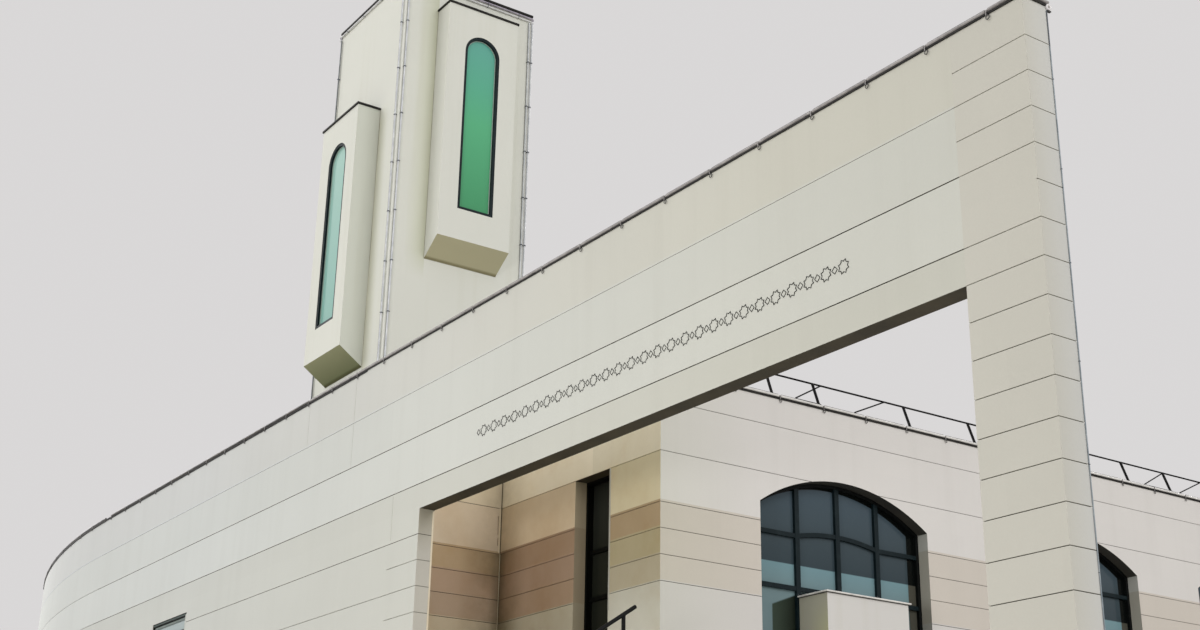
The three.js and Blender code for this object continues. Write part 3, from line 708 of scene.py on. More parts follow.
slot_arris, jamb_arris = Vector((slot_high.x, recess_corner.y, 0)), Vector((jamb, pier_low.y, 0))
for name, foot, low, high, finish, width in (
        ("recess_corner_foot_bead", recess_corner, (0, -0.009, 4.8), (0.009, 0, 7.6), pale_bead, 0.003),
        ("recess_corner_foot_gap", recess_corner, (0.0095, -0.005, 4.8), (0.023, 0, 7.6), brown_bead, 0.002),
        ("recess_corner_bead", recess_corner, (0, -0.012, 7.62), (0.014, 0, 9.2), brown_bead, 0.004),
        ("recess_corner_lip", recess_corner, (0, -0.046, 7.62), (0.006, -0.014, 8.4), pale_bead, 0.002),
        ("slot_arris_bead", slot_arris, (0, -0.005, 6.15), (0.036, 0, 8.4), grey_bead, 0.002),
        ("jamb_arris_bead", jamb_arris, (0, 0.232, 4.8), (0.005, WALL_THICK, 7.58), pale_bead, 0.002)):
    bead = trim_edges(block(name, foot + Vector(low), foot + Vector(high)), width)
    install(finish_with(bead, finish), "hall_stone")

# Windows. Dark green coated aluminium profiles and tinted glass, set deep in the openings. The arched
# windows have three mullions and two transoms, of which the upper one bows up over the two middle lights.

FRAME_FACE, JAMB_FACE, BAR_FACE = 0.055, 0.06, 0.09
MULLIONS, TRANSOM, BOW = (-0.87, 0.0, 0.87), 6.675, (7.53, 7.63)


def coated_profile(name, code, rough, dusty):
    """Powder coating on aluminium: smooth, half matt, with patches of dust.

    Its orange peel is about 1 mm across and is drawn about 4 mm coarse.
    """
    made, tree, shader, place = new_material(name, rough, 0.15)
    dust = add(tree, "TexNoise", {"Vector": place, "Scale": 5.0, "Detail": 5, "Roughness": 0.6})
    tone = add(tree, "ValToRGB", {0: dust.outputs[0]}, stops=[(0.5, code), (0.9, dusty)])
    peel = add(tree, "TexNoise", {"Vector": place, "Scale": 260, "Detail": 2})
    lay_on(tree, shader, tone.outputs[0], peel.outputs[0], 0.08, 0.0005)
    return made


def glass_with_painted_reflection(name, tones, low, high, gloss=0.5, shade=None):
    """Tinted glass with a dim room behind it: a deep colour that changes with height as painted reflection, under
    a clear shine.
    """
    made, tree, shader, place = new_material(name, 0.06, gloss)
    axes = add(tree, "SeparateXYZ", {0: place})
    rise = add(tree, "MapRange", {0: axes.outputs["Z"], 1: low, 2: high})
    tone = add(tree, "ValToRGB", {0: rise.outputs[0]}, stops=tones)
    colour = shade(tree, axes, tone.outputs[0]) if shade else tone.outputs[0]
    wave = add(tree, "TexNoise", {"Vector": place, "Scale": 0.8, "Detail": 1})
    lay_on(tree, shader, colour, wave.outputs[0], 0.03, 0.01)
    shader.inputs["IOR"].default_value = 1.52
    return made


def join_as(name, pieces, smooth=None):
    """Joins pieces into one under a new name, smooth but for the edges sharper than an angle in degrees."""
    bpy.ops.object.select_all(action="DESELECT")
    for piece in pieces:
        piece.select_set(True)
    bpy.context.view_layer.objects.active = pieces[0]
    bpy.ops.object.join()
    made = named(name)
    if smooth:
        bpy.ops.object.shade_smooth_by_angle(angle=math.radians(smooth))
    return made


def copy_of(piece, name, move=(0, 0, 0), turn=0.0):
    """A copy with a mesh of its own, turned about the origin's upright axis and then moved."""
    only(piece)
    bpy.ops.object.duplicate()
    bpy.context.object.matrix_world = Matrix.Translation(Vector(move)) @ Matrix.Rotation(turn, 4, "Z")
    return named(name)


def painted_reflections_in_panes(tree, axes, colour):
    """Painted reflection and shade in the panes: dark margins along the head and the far jamb, and the dark shape
    of the side block.
    """
    start = at_y(RIGHT_ARCHES[0] - ARCH_PITCH / 2)
    along = add(tree, "Math", {0: axes.outputs["Y"], 1: -start}, operation="ADD")
    within = add(tree, "Math", {0: along.outputs[0], 1: ARCH_PITCH}, operation="FLOORED_MODULO")
    beside = add(tree, "Math", {0: within.outputs[0], 1: -ARCH_PITCH / 2}, operation="ADD").outputs[0]
    across = add(tree, "Math", {0: beside, 1: 0.1}, operation="ADD")
    rise = add(tree, "Math", {0: axes.outputs["Z"], 1: ARCH_RADIUS - ARCH_RISE - ARCH_SPRINGING}, operation="ADD")
    spot = add(tree, "CombineXYZ", {0: across.outputs[0], 1: rise.outputs[0]})
    reach = add(tree, "VectorMath", {0: spot.outputs[0]}, operation="LENGTH").outputs["Value"]
    head = add(tree, "MapRange", {0: reach, 1: ARCH_RADIUS - 0.105, 2: ARCH_RADIUS - 0.095}).outputs[0]
    jamb_strip = add(tree, "MapRange", {0: beside, 1: 1.585, 2: 1.6}).outputs[0]
    # the painted reflection by the jamb is greyer in its lower half; the side block's painted reflection ends in
    # a sloping edge
    strip = lay_stains_and_light(tree, axes, linear("#0B0E0D"), ("#494840", ("Z", 7.065, 7.055)))
    block_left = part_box("side_block")[0].y
    green = lay_stains_and_light(tree, axes, linear("#3B463D"), ("#12160F", ("Y", block_left - 0.5, block_left + 0.05)))
    slope = add(tree, "Math", {0: axes.outputs["Y"], 1: -0.4, 2: axes.outputs["Z"]}, operation="MULTIPLY_ADD")
    edge = 6.59 - 0.4 * block_left
    below = add(tree, "MapRange", {0: slope.outputs[0], 1: edge + 0.012, 2: edge - 0.012}).outputs[0]
    return lay_stains_and_light(
        tree, axes, colour, (strip, jamb_strip), ("#0B0E0D", head),
        (green, below, ("Z", 6.64, 6.62), ("Y", block_left - 0.52, block_left - 0.5),
         ("Y", block_left + 2.5, block_left + 2.4)))


# the bars read as green-black, and the ring as plain black: a black coat, darker than the bars' as painted shade
# of the head
frame_coat = coated_profile("green_black_powder_coat", "#0C1A1E", 0.45, "#1D2A2D")
ring_coat_with_painted_shade = coated_profile("black_ring_coat_with_painted_shade", "#080B0B", 0.5, "#141817")
arch_centre = at_y(RIGHT_ARCHES[0])
frame_low, frame_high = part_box("right_window_frame_1")
ring = arch_block("window_ring", frame_low.x, frame_high.x, arch_centre, 0.0005)
combine(ring, arch_block("window_cutter", frame_low.x - 1, frame_high.x + 1, arch_centre, FRAME_FACE, JAMB_FACE))
finish_with(ring, ring_coat_with_painted_shade)
bars = []
inner = ARCH_RADIUS - FRAME_FACE / 2
for step in MULLIONS:
    top = ARCH_SPRINGING + ARCH_RISE - ARCH_RADIUS + math.sqrt(inner ** 2 - step ** 2)
    y = arch_centre + step
    bars.append(block("mullion", (frame_low.x + 0.004, y - BAR_FACE / 2, ARCH_SILL + 0.02),
                      (frame_high.x - 0.004, y + BAR_FACE / 2, top)))
half, bar_half = ARCH_WIDTH / 2 - 0.03, BAR_FACE / 2 - 0.01
bar_near, bar_far = frame_low.x + 0.002, frame_high.x - 0.008
for y0, y1, z in ((-half, half, TRANSOM), (-half, MULLIONS[0], BOW[0]), (MULLIONS[2], half, BOW[0])):
    bars.append(block("transom", (bar_near, arch_centre + y0, z - bar_half),
                      (bar_far, arch_centre + y1, z + bar_half)))
# the bowed transom is spun from a thin slice in its middle, first to one side and then to the other
bow_rise = BOW[1] - BOW[0]
bow_radius = (MULLIONS[2] ** 2 + bow_rise ** 2) / (2 * bow_rise)
bow_angle = math.asin(MULLIONS[2] / bow_radius)
bow_centre = (0, arch_centre, BOW[1] - bow_radius)
bow = block("bow_transom", (bar_near, arch_centre - 0.0005, BOW[1] - bar_half),
            (bar_far, arch_centre + 0.0005, BOW[1] + bar_half))
open_edit(bow)
for sign in (1, -1):
    pick(bow, lambda c, n: n.y * sign > 0.5 and abs(c.y - arch_centre) < 0.001)
    bpy.ops.mesh.spin(steps=10, angle=bow_angle, center=bow_centre, axis=(-sign, 0, 0))
close_edit()
bars.append(bow)
for bar in bars:
    finish_with(bar, frame_coat)
arched_frame = trim_edges(join_as("right_window_frame_a", [ring] + bars), 0.006)
step = at(0, RIGHT_ARCHES[1] - RIGHT_ARCHES[0], 0) - at(0, 0, 0)
for i, name in ((1, "right_window_frame_b"), (2, "right_window_frame_c")):
    install(copy_of(arched_frame, name, step * i), "frame_metal", f"right_window_frame_{i + 1}")
turned_centre = Matrix.Rotation(math.pi / 2, 4, "Z") @ Vector((frame_high.x, arch_centre, 0))
for i, x in enumerate(BACK_ARCHES):
    move = Vector((x, back_high.y - (right_high.x - frame_high.x), 0)) - turned_centre
    install(copy_of(arched_frame, f"back_window_frame_{i + 1}", move, math.pi / 2), "frame_metal")
install(arched_frame, "frame_metal", "right_window_frame_1")


def refinish(node, finish):
    """Gives a CAD node that stays in sight its finish."""
    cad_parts[node].data.materials[0] = finish


# the arched panes read as blue-grey in their pale lower band and as slate above it, the slot's as nearly black,
# and the small windows' as pale grey-green; the pale band and every change with height are painted reflection
arch_glass = glass_with_painted_reflection("tinted_arch_glass", [(0.0, "#66767A"), (0.5, "#6F8589"), (0.614, "#6F8E95"),
                                                (0.615, "#344046"), (0.75, "#3C484E"), (1.0, "#475660")],
                          4.8, 8.48, gloss=0.15, shade=painted_reflections_in_panes)
for i in range(3):
    refinish(f"right_window_glass_{i + 1}", arch_glass)
refinish("back_window_glass", arch_glass)

refinish("slot_window_glass", glass_with_painted_reflection(
    "tinted_slot_glass", [(0.0, "#23251F"), (0.6, "#23251F"), (1.0, "#2C2E2A")], 4.8, 8.4, gloss=0.1))
slot_coat = coated_profile("black_powder_coat", "#080907", 0.6, "#0E0F0C")
slot_coat.node_tree.nodes["Principled BSDF"].inputs["Specular IOR Level"].default_value = 0.08
SLOT_BARS, SLOT_EDGE, SLOT_OUT, SLOT_BAR_HALF = (5.72, 6.48, 7.24), 0.05, 0.055, 0.035
slot_ring = block("slot_ring", slot_low - Vector((0, SLOT_OUT, 0)), slot_high)
edge = Vector((SLOT_EDGE, 0, SLOT_EDGE))
combine(slot_ring, block("window_cutter", slot_low - through + edge, slot_high + through - edge))
slot_bars = [block("slot_transom", (slot_low.x + 0.02, slot_low.y + 0.01, z - SLOT_BAR_HALF),
                   (slot_high.x - 0.02, slot_high.y - 0.005, z + SLOT_BAR_HALF)) for z in SLOT_BARS]
slot_frame = trim_edges(join_as("slot_window_bars", [slot_ring] + slot_bars), 0.004)
install(finish_with(slot_frame, slot_coat), "frame_metal", "slot_window_frame")

pale_glass = glass_with_painted_reflection("tinted_small_glass", [(0.0, "#7F9294"), (1.0, "#A5B3B3")], SMALL_SILL, SMALL_HEAD)
refinish("left_window_glass", pale_glass)
# the small window, nearly flush with the wall: its front's lower left and upper right corners
foot = Vector((small_low.x, pier_low.y + 0.008, small_low.z))
head = Vector((small_high.x, pier_low.y + 0.008, small_high.z))
SMALL_DEPTH, RING_FACE, RING_STEP = 0.077, Vector((0.05, 0, 0.06)), 0.014
small_ring = block("small_ring", foot, head + Vector((0, SMALL_DEPTH, 0)))
combine(small_ring, block("window_cutter", foot - through + RING_FACE,
                          head + Vector((0, SMALL_DEPTH, 0)) + through - RING_FACE))
open_edit(small_ring)
pick(small_ring, lambda c, n: n.y < -0.5)
bpy.ops.mesh.inset(thickness=RING_STEP)
bpy.ops.mesh.extrude_region_move(TRANSFORM_OT_translate={"value": (0, 0.006, 0)})
close_edit()
# the small window's profiles carry strips of several tones, from near black to pale grey
small_coat = coated_profile("grey_green_powder_coat", "#161C1A", 0.5, "#262E2B")
pale_coat = coated_profile("pale_strip_coat", "#B7B9B2", 0.5, "#C9CAC4")
strip_coat = coated_profile("grey_strip_coat", "#7C8682", 0.5, "#939B97")
rib_coat = coated_profile("green_grey_rib_coat", "#4A5954", 0.5, "#5C6B66")
finish_with(small_ring, small_coat)
strips = []
for name, low, high, finish in (
        ("small_head_strip", (foot.x + 0.052, foot.y + 0.03, head.z - 0.115),
         (head.x - 0.075, foot.y + 0.04, head.z - 0.072), strip_coat),
        ("small_transom", (foot.x + 0.02, foot.y + 0.02, head.z - 0.37),
         (head.x - 0.07, foot.y + SMALL_DEPTH - 0.01, head.z - 0.31), small_coat),
        ("small_side_strip", (head.x - 0.072, foot.y - 0.003, foot.z + 0.02),
         (head.x - 0.004, foot.y + 0.05, head.z - 0.03), pale_coat),
        ("small_head_rib", (foot.x + 0.02, foot.y - 0.003, head.z - 0.044),
         (head.x - 0.03, foot.y + 0.001, head.z - 0.022), rib_coat)):
    strips.append(finish_with(block(name, low, high), finish))
small_frame = trim_edges(join_as("front_window_bars", [small_ring] + strips), 0.003)
small_pane = block("front_window_pane", foot + Vector((0.03, 0.052, 0.03)), head + Vector((-0.03, 0.06, -0.03)))
finish_with(small_pane, pale_glass)
turned_middle = Matrix.Rotation(-math.pi / 2, 4, "Z") @ Vector(((small_low.x + small_high.x) / 2, pier_low.y, 0))
for i, y in enumerate(LEFT_WINDOWS):
    move = Vector((left_low.x, at_y(y), 0)) - turned_middle
    install(copy_of(small_frame, f"left_window_frame_{i + 1}", move, -math.pi / 2), "frame_metal")
    install(copy_of(small_pane, f"left_window_pane_{i + 1}", move, -math.pi / 2), "dark_glass")
install(small_frame, "frame_metal", "front_window_frame")
install(small_pane, "dark_glass", "front_window_glass")

# Copings. Dark coated sheet folded over the wall heads, 24 mm high, with a drip hanging below it along the
# left part, in lengths that lap every 2 m. Lighting tubes lie along the outer edges in clips about 1 m apart.

# how high the sheet is and how far it stands out, the tube's radius and the spacing of its clips
SHEET_HIGH, OUT, TUBE_RADIUS, CLIP_STEP = 0.024, 0.015, 0.021, 0.992
LAP, LAP_HALF, LAP_RISE = 2.0, 0.03, 0.003
FRONT_DRIP, CURVE_DRIP, DRIP_END = 0.022, 0.028, -14.6
# the hall's sheet starts higher over its node and is thicker; what is seated stands clear by half a mm
PARAPET_LIFT, PARAPET_EXTRA, SEATED = 0.03, 0.012, 0.0005

# coated sheet metal: brown-black and matt, greyed by dust and rain in long patches
sheet = patchy("dark_coated_sheet", "#100E0C", "#2E2B27", 1.7, 6, 0.65, 0.4, 0.85, 0.6, 0.2)


def weathered_tube(name, dark, light):
    """Plastic or zinc tube left outdoors: grey, dull, with paler worn stretches."""
    return patchy(name, dark, light, 6.0, 5, 0.6, 0.35, 0.7, 0.42)


# the tubes read as off-white, grey or brown by how far they have weathered, the wire clips as nearly black
tube_pale = weathered_tube("pale_edge_tube", "#CFCDC9", "#E6E4E0")
tube_grey = weathered_tube("grey_edge_tube", "#807C7A", "#A9A5A3")
tube_brown = weathered_tube("brown_edge_tube", "#2F2A26", "#5A524A")
clip_dark = weathered_tube("dark_wire_clip", "#1D1B19", "#45413E")


def lapped(piece, start, end, along):
    """Raises a low lap across a straight coping every 2 m: thin strips pushed out along their normals."""
    open_edit(piece)
    places = [start + LAP * (i + 0.5) for i in range(int((end - start) / LAP))]
    axis = Vector((1, 0, 0)) if along == "X" else Vector((0, 1, 0))
    for p in places:
        slice_at(axis * (p - LAP_HALF), axis)
        slice_at(axis * (p + LAP_HALF), axis)
    pick(piece, lambda c, n: n.z > -0.5 and abs(n.dot(axis)) < 0.5
         and any(abs(c.dot(axis) - p) < LAP_HALF for p in places))
    push_out(LAP_RISE)
    close_edit()


cap_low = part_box("front_coping")[0] + Vector((0, 0, UNDER_SHEET))
cap_top = cap_low.z + SHEET_HIGH
front_coping = block("front_wall_coping", (cap_low.x, pier_low.y - OUT, cap_low.z),
                     (pier_high.x + OUT, pier_low.y + WALL_THICK + OUT, cap_top))
pier_cap = block("pier_cap", (pier_low.x - OUT, pier_low.y - OUT, cap_low.z),
                 (pier_high.x + OUT, pier_high.y + OUT, cap_top))
combine(front_coping, pier_cap, "UNION")
lapped(front_coping, cap_low.x, pier_low.x - 0.5, "X")
install(finish_with(front_coping, sheet), "coping_metal", "front_coping")
front_drip = block("front_wall_drip", (cap_low.x, pier_low.y - OUT, cap_low.z - FRONT_DRIP),
                   (at_x(DRIP_END), pier_low.y - 0.0005, cap_low.z - 0.0003))
install(finish_with(trim_edges(front_drip, 0.004, 1), sheet), "coping_metal")

coping_parts = []
for name, (centre, radius, turn, angle, steps) in zip(("bend_coping", "corner_coping"), CURVES):
    spot = centre + Matrix.Rotation(turn, 4, "Z") @ Vector((0, -1, 0)) * (radius - WALL_THICK / 2)
    part = upright_section(name, spot, turn, cap_low.z - CURVE_DRIP, cap_top, WALL_THICK + 2 * OUT)
    spin_all(part, centre, angle, steps)
    coping_parts.append(part)
left_coping = block("left_coping", (left_low.x - OUT, corner_centre.y, cap_low.z - CURVE_DRIP),
                    (left_high.x + OUT, left_high.y + OUT, cap_top))
lapped(left_coping, corner_centre.y, back_high.y, "Y")
curved_coping = join_as("curved_wall_coping", coping_parts + [left_coping])
open_edit(curved_coping)
turn_faces_out()
close_edit()
bpy.ops.object.shade_smooth_by_angle(angle=math.radians(20))
install(finish_with(curved_coping, sheet), "coping_metal", "curved_coping")

par_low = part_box("parapet_coping")[0] + Vector((0, 0, PARAPET_LIFT))
(back_edge, back_far), (side_near, side_far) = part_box("recess_back_wall"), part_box("recess_side_wall")
level_top = par_low.z + SHEET_HIGH + PARAPET_EXTRA
parapet_parts = [block(name, (x0, y0, par_low.z), (x1, y1, level_top)) for name, x0, y0, x1, y1 in (
    ("parapet_right", right_low.x - OUT, right_low.y - OUT, right_high.x + OUT, right_high.y + OUT),
    ("parapet_back", par_low.x, back_low.y - OUT, right_low.x, back_high.y + OUT),
    ("parapet_recess", side_near.x - OUT, back_edge.y - OUT, right_low.x, back_far.y + OUT),
    ("parapet_side", side_near.x - OUT, side_near.y, side_far.x + OUT, back_edge.y))]
lapped(parapet_parts[0], right_low.y, right_high.y, "Y")
lapped(parapet_parts[1], par_low.x, right_low.x, "X")
install(finish_with(join_as("hall_parapet_coping", parapet_parts), sheet), "coping_metal", "parapet_coping")


def rod(name, start, end, radius, sides=12):
    """A round bar or tube from one point to another."""
    start, end = Vector(start), Vector(end)
    bpy.ops.object.select_all(action="DESELECT")
    bpy.ops.mesh.primitive_cylinder_add(
        vertices=sides, radius=radius, depth=(end - start).length, location=(start + end) / 2,
        rotation=(end - start).to_track_quat("Z", "Y").to_euler())
    return named(name)


def hook(name, place, radius, thick, turn=(0, math.pi / 2, 0), flats=(20, 8)):
    """A rounded wire hook at the end of a tube, or a wire clip round it."""
    bpy.ops.object.select_all(action="DESELECT")
    bpy.ops.mesh.primitive_torus_add(major_segments=flats[0], minor_segments=flats[1], major_radius=radius,
                                     minor_radius=thick, location=place, rotation=turn)
    return named(name)


# the clip of the edge tube: a saddle round it and a pale strap with a wire hook that hangs before the wall
UPRIGHT = (math.pi / 2, 0, 0)
clip = join_as("clip", [
    finish_with(hook("clip_ring", (0.012, -0.0125, -0.082), 0.024, 0.0052, UPRIGHT, (16, 6)), clip_dark),
    finish_with(block("clip_strap", (-0.005, -0.0225, -0.060), (0.005, -0.0185, 0.004)), tube_grey),
    finish_with(rod("clip_saddle", (-0.013, 0, 0), (0.013, 0, 0), TUBE_RADIUS - 0.004, 14), tube_grey)])


def lay_tube(name, places, finishes, more=()):
    """Lays a tube from place to place, with a thin dark cable on top of it and a clip at each place but the last.
    """
    parts = []
    rise = Vector((0, 0, TUBE_RADIUS + 0.003))
    for i, (here, there) in enumerate(zip(places, places[1:])):
        along = (there - here).normalized()
        length = rod("tube_length", here + along * 0.02, there - along * 0.02, TUBE_RADIUS)
        cable = rod("tube_cable", here + along * 0.03 + rise, there - along * 0.03 + rise, 0.0055, 6)
        parts += [finish_with(length, finishes[i % len(finishes)]), finish_with(cable, clip_dark),
                  copy_of(clip, "clip_copy", here, math.atan2(along.y, along.x))]
    install(join_as(name, parts + list(more), smooth=40), "guard_steel")


tube_z = cap_top + TUBE_RADIUS + SEATED
tube_y = pier_low.y - 0.004
# the clips over the portal are unevenly spaced, those along the wall evenly
CLIPS = [-0.46, -1.34, -2.26, -3.18, -4.14, -5.09, -6.05, -7.03]
number = int((pier_high.x - 7.03 - bend_start) / CLIP_STEP)
CLIPS += [-7.03 - CLIP_STEP * i for i in range(1, number + 1)]
clip_places = [Vector((pier_high.x + x, tube_y, tube_z)) for x in reversed(CLIPS)]
side_x, end_z = pier_high.x + 0.005, tube_z + 0.007
end_length = rod("end_length", (pier_high.x - 0.44, tube_y, end_z), (side_x + 0.012, tube_y, end_z), TUBE_RADIUS)
side_length = rod("side_length", (side_x, pier_low.y - 0.02, end_z), (side_x, pier_high.y + 0.03, end_z),
                  TUBE_RADIUS - 0.0015)
last_lengths = [finish_with(end_length, tube_grey), finish_with(side_length, tube_grey)]
last_lengths.append(copy_of(clip, "first_clip", clip_places[-1]))
worn = at_x(-16.2)
lay_tube("left_edge_tube", [p for p in clip_places if p.x < worn], (tube_brown, clip_dark))
lay_tube("front_edge_tube", [p for p in clip_places if p.x > worn - 0.9], (tube_grey,), last_lengths)

# at the pier's rear edge the tube ends in a pale hook, and a thin blue-grey tube runs down the edge
pale_hook = weathered_tube("pale_plastic_hook", "#D2CFCF", "#EFEDEC")
end_hook = hook("pier_tube_hook", (side_x + 0.004, pier_high.y + 0.026, end_z - 0.058), 0.027, 0.014)
# the dark block under the hook is painted shade: it stands for the hook's shadow
painted_hook_shadow = block("pier_hook_painted_shadow", (side_x - 0.012, pier_high.y + 0.004, end_z - 0.112),
                  (side_x + 0.016, pier_high.y + 0.052, end_z - 0.098))
end_parts = [finish_with(end_hook, pale_hook), finish_with(painted_hook_shadow, clip_dark)]
install(join_as("pier_tube_hook", end_parts), "guard_steel")
blue_grey = weathered_tube("blue_grey_wall_tube", "#77828A", "#A3ABB0")
dark_length = weathered_tube("dark_wall_tube", "#3E444C", "#5A626B")
down_x, down_y = pier_high.x + 0.0065, pier_high.y - 0.002
down_parts = [finish_with(rod(name, (down_x, down_y, low), (down_x, down_y, high), 0.006), finish)
              for name, low, high, finish in (("down_tube", 0.05, 9.98, blue_grey),
                                              ("down_tube_head", 9.985, end_z - 0.1, dark_length))]
down_parts += [finish_with(hook("down_clip", (down_x, down_y, 9.6 - i), 0.0075, 0.0035, (0, 0, 0)), dark_length)
               for i in range(10)]
install(join_as("pier_rear_tube", down_parts), "guard_steel")

places = []
for centre, radius, first, sweep in ((corner_centre, CORNER_RADIUS, BEND_ANGLE, CORNER_ANGLE),
                                     (bend_centre, BEND_RADIUS, 0.0, BEND_ANGLE)):
    number = round(sweep * radius / CLIP_STEP)
    for i in range(number if centre == corner_centre else number + 1):
        turn = first + sweep * (number - i) / number
        spot = centre + Vector((-math.sin(turn), -math.cos(turn), 0)) * (radius + 0.003)
        places.append(Vector((spot.x, spot.y, tube_z)))
lay_tube("curved_edge_tube", places, (clip_dark, tube_brown, clip_dark))

tube_low = level_top + TUBE_RADIUS + SEATED
places = [Vector((right_high.x + 0.004, at_y(3.17 + 0.94 * i), tube_low)) for i in range(20)]
lay_tube("hall_edge_tube", [p for p in places if p.y < right_high.y], (tube_pale,))
bpy.data.objects.remove(clip)

# Minaret. A square concrete shaft with fine painted render, oriels of the same render with round-headed
# lights of green glass, dark sheet caps, and thin lighting tubes on stand-off clips up its corners.

CAP_HIGH, ORIEL_CAP, CAP_OUT, SEAL = 0.05, 0.042, 0.024, 0.007
GLASS_FOOT, GLASS_HEAD = 4.28, 0.55


def painted_render(name, code, soil, weather_and_light):
    """Fine render with masonry paint: cream, dull, a little cloudy, with yellow-green streaks, under the painted
    shade that the function given lays on.

    The trowel's grain is about 2 mm and is drawn about 20 mm coarse, as it wouldn't show otherwise.
    """
    made, tree, shader, place = new_material(name, 0.85, 0.25)
    cloud = add(tree, "TexNoise", {"Vector": place, "Scale": 0.7, "Detail": 4, "Roughness": 0.5})
    trowel = add(tree, "TexNoise", {"Vector": place, "Scale": 45, "Detail": 3, "Roughness": 0.6})
    tone = add(tree, "Math", {0: cloud.outputs[0], 1: 0.07, 2: 0.945}, operation="MULTIPLY_ADD")
    tone = add(tree, "Math", {0: trowel.outputs[0], 1: 0.03, 2: tone.outputs[0]}, operation="MULTIPLY_ADD")
    base = add(tree, "Mix", {0: 1.0, 6: linear(code), 7: tone.outputs[0]}, data_type="RGBA",
               blend_type="MULTIPLY")
    long = add(tree, "Mapping", {0: place, 3: (3.2, 3.2, 0.13)})
    run = add(tree, "TexNoise", {"Vector": long.outputs[0], "Scale": 1.0, "Detail": 5, "Roughness": 0.6})
    streak = add(tree, "MapRange", {0: run.outputs[0], 1: 0.52, 2: 0.8, 3: 0.0, 4: soil}).outputs[0]
    axes = add(tree, "SeparateXYZ", {0: place})
    colour = lay_stains_and_light(tree, axes, base.outputs[2], ("#A9A684", streak))
    lay_on(tree, shader, weather_and_light(tree, axes, colour), trowel.outputs[0], 0.3, 0.002)
    return made


def painted_oriel_shade(tree, axes, colour):
    """Painted shade, tinted yellow-green, under the oriels and beside them."""
    normal = add(tree, "SeparateXYZ", {0: add(tree, "NewGeometry").outputs["Normal"]})
    below = add(tree, "MapRange", {0: normal.outputs["Z"], 1: -0.2, 2: -0.6, 3: 0.0, 4: 0.9}).outputs[0]
    front, front_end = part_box("front_oriel_body")
    side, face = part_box("right_oriel_body")[0], tower_low.y
    painted_crease_shade = (0.5, 0.48, 0.4)
    return lay_stains_and_light(
        tree, axes, colour,
        # painted shade on the undersides of all oriels, then more on those of the front and rear ones
        ("#B9B38F", below),
        ((0.55, 0.6, 0.5), below, ("Z", front.z + 0.34, front.z)),
        ((0.64, 0.7, 0.62), below, ("Z", front.z + 0.6, front.z + 0.5)),
        # painted shade on the front oriel's flank, and on the shaft beside it
        ((0.87, 0.885, 0.86), facing(tree, "X"), ("Y", face - 0.001, face - 0.01)),
        ((0.87, 0.865, 0.77), facing(tree, "Y", -1), ("X", front_end.x + 0.36, front_end.x + 0.02),
         ("X", front_end.x - 0.002, front_end.x + 0.004), ("Z", front_end.z + 0.1, front_end.z - 0.3),
         ("Y", face - 0.01, face - 0.001)),
        # painted shade where the undersides meet the shaft
        (painted_crease_shade, below, ("Z", front.z + 0.045, front.z + 0.02)),
        (painted_crease_shade, below, ("Z", side.z + 0.045, side.z + 0.02), ("X", side.x - 0.002, side.x - 0.001)),
        # painted shade on the shaft beside the right oriel
        ((0.84, 0.85, 0.72), facing(tree, "X"), ("Y", side.y - 0.42, side.y),
         ("Y", side.y + 0.012, side.y + 0.002), ("Z", side.z - 0.4, side.z + 0.1),
         ("X", tower_high.x + 0.01, tower_high.x + 0.001)))


tower_low, tower_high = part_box("minaret_front_wall")
cream_render = painted_render("cream_painted_render", "#D6D7CE", 0.12, painted_oriel_shade)
for side in ("front", "back", "right", "left"):
    refinish(f"minaret_{side}_wall", cream_render)
roof_low, roof_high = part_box("minaret_roof")
tower_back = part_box("minaret_back_wall")[1].y
upstand = block("minaret_upstand", (tower_low.x, tower_low.y, roof_low.z),
                (tower_high.x, tower_back, roof_high.z - CAP_HIGH))
install(finish_with(trim_edges(upstand, 0.006), cream_render), "render", "minaret_roof")
cap = block("minaret_roof_cap", (roof_low.x, roof_low.y, roof_high.z - CAP_HIGH + SEATED), roof_high)
install(finish_with(trim_edges(cap, 0.006), sheet), "coping_metal", "minaret_roof")

# the right oriel is shaped first, and the other three are copies of it, turned and moved to their faces
body_low, body_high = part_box("right_oriel_body")
light_low, light_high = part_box("right_oriel_frame")
shaft_x = body_low.x
SLOPE, LIGHT_HALF = 0.33, (light_high.y - light_low.y) / 2
oriel_y = (body_low.y + body_high.y) / 2


def round_headed(name, near, far, inset=0.0, sides=0.0):
    """A block in the shape of an oriel's light, set in from its edge: a box and a lying cylinder, joined."""
    half, foot, top = LIGHT_HALF - inset - sides, light_low.z + inset, light_high.z - inset
    made = block(name, (near, oriel_y - half, foot), (far, oriel_y + half, top - half))
    bpy.ops.object.select_all(action="DESELECT")
    bpy.ops.mesh.primitive_cylinder_add(vertices=72, radius=half, depth=far - near,
                                        location=((near + far) / 2, oriel_y, top - half),
                                        rotation=(0, math.pi / 2, 0))
    combine(made, named("round_head"), "UNION")
    return made


oriel = block("right_oriel_box", body_low + Vector((0, 0, SLOPE)), body_high)
open_edit(oriel, "VERT")
mesh = bmesh.from_edit_mesh(oriel.data)
for corner in mesh.verts:
    corner.select_set(corner.co.x < shaft_x + 0.01 and corner.co.z < body_low.z + SLOPE + 0.01)
mesh.select_flush(True)
bmesh.update_edit_mesh(oriel.data)
bpy.ops.transform.translate(value=(0, 0, -SLOPE))
close_edit()
combine(oriel, round_headed("light_cutter", light_low.x - 0.02, body_high.x + 1))
finish_with(oriel, cream_render, frame_coat)
open_edit(oriel)
pick(oriel, lambda c, n: abs(n.x) < 0.5 and light_low.x < c.x and abs(c.y - oriel_y) < LIGHT_HALF + 0.01
     and light_low.z - 0.01 < c.z < light_high.z + 0.01)
give_finish(oriel, 1)
close_edit()
trim_edges(oriel, 0.01)

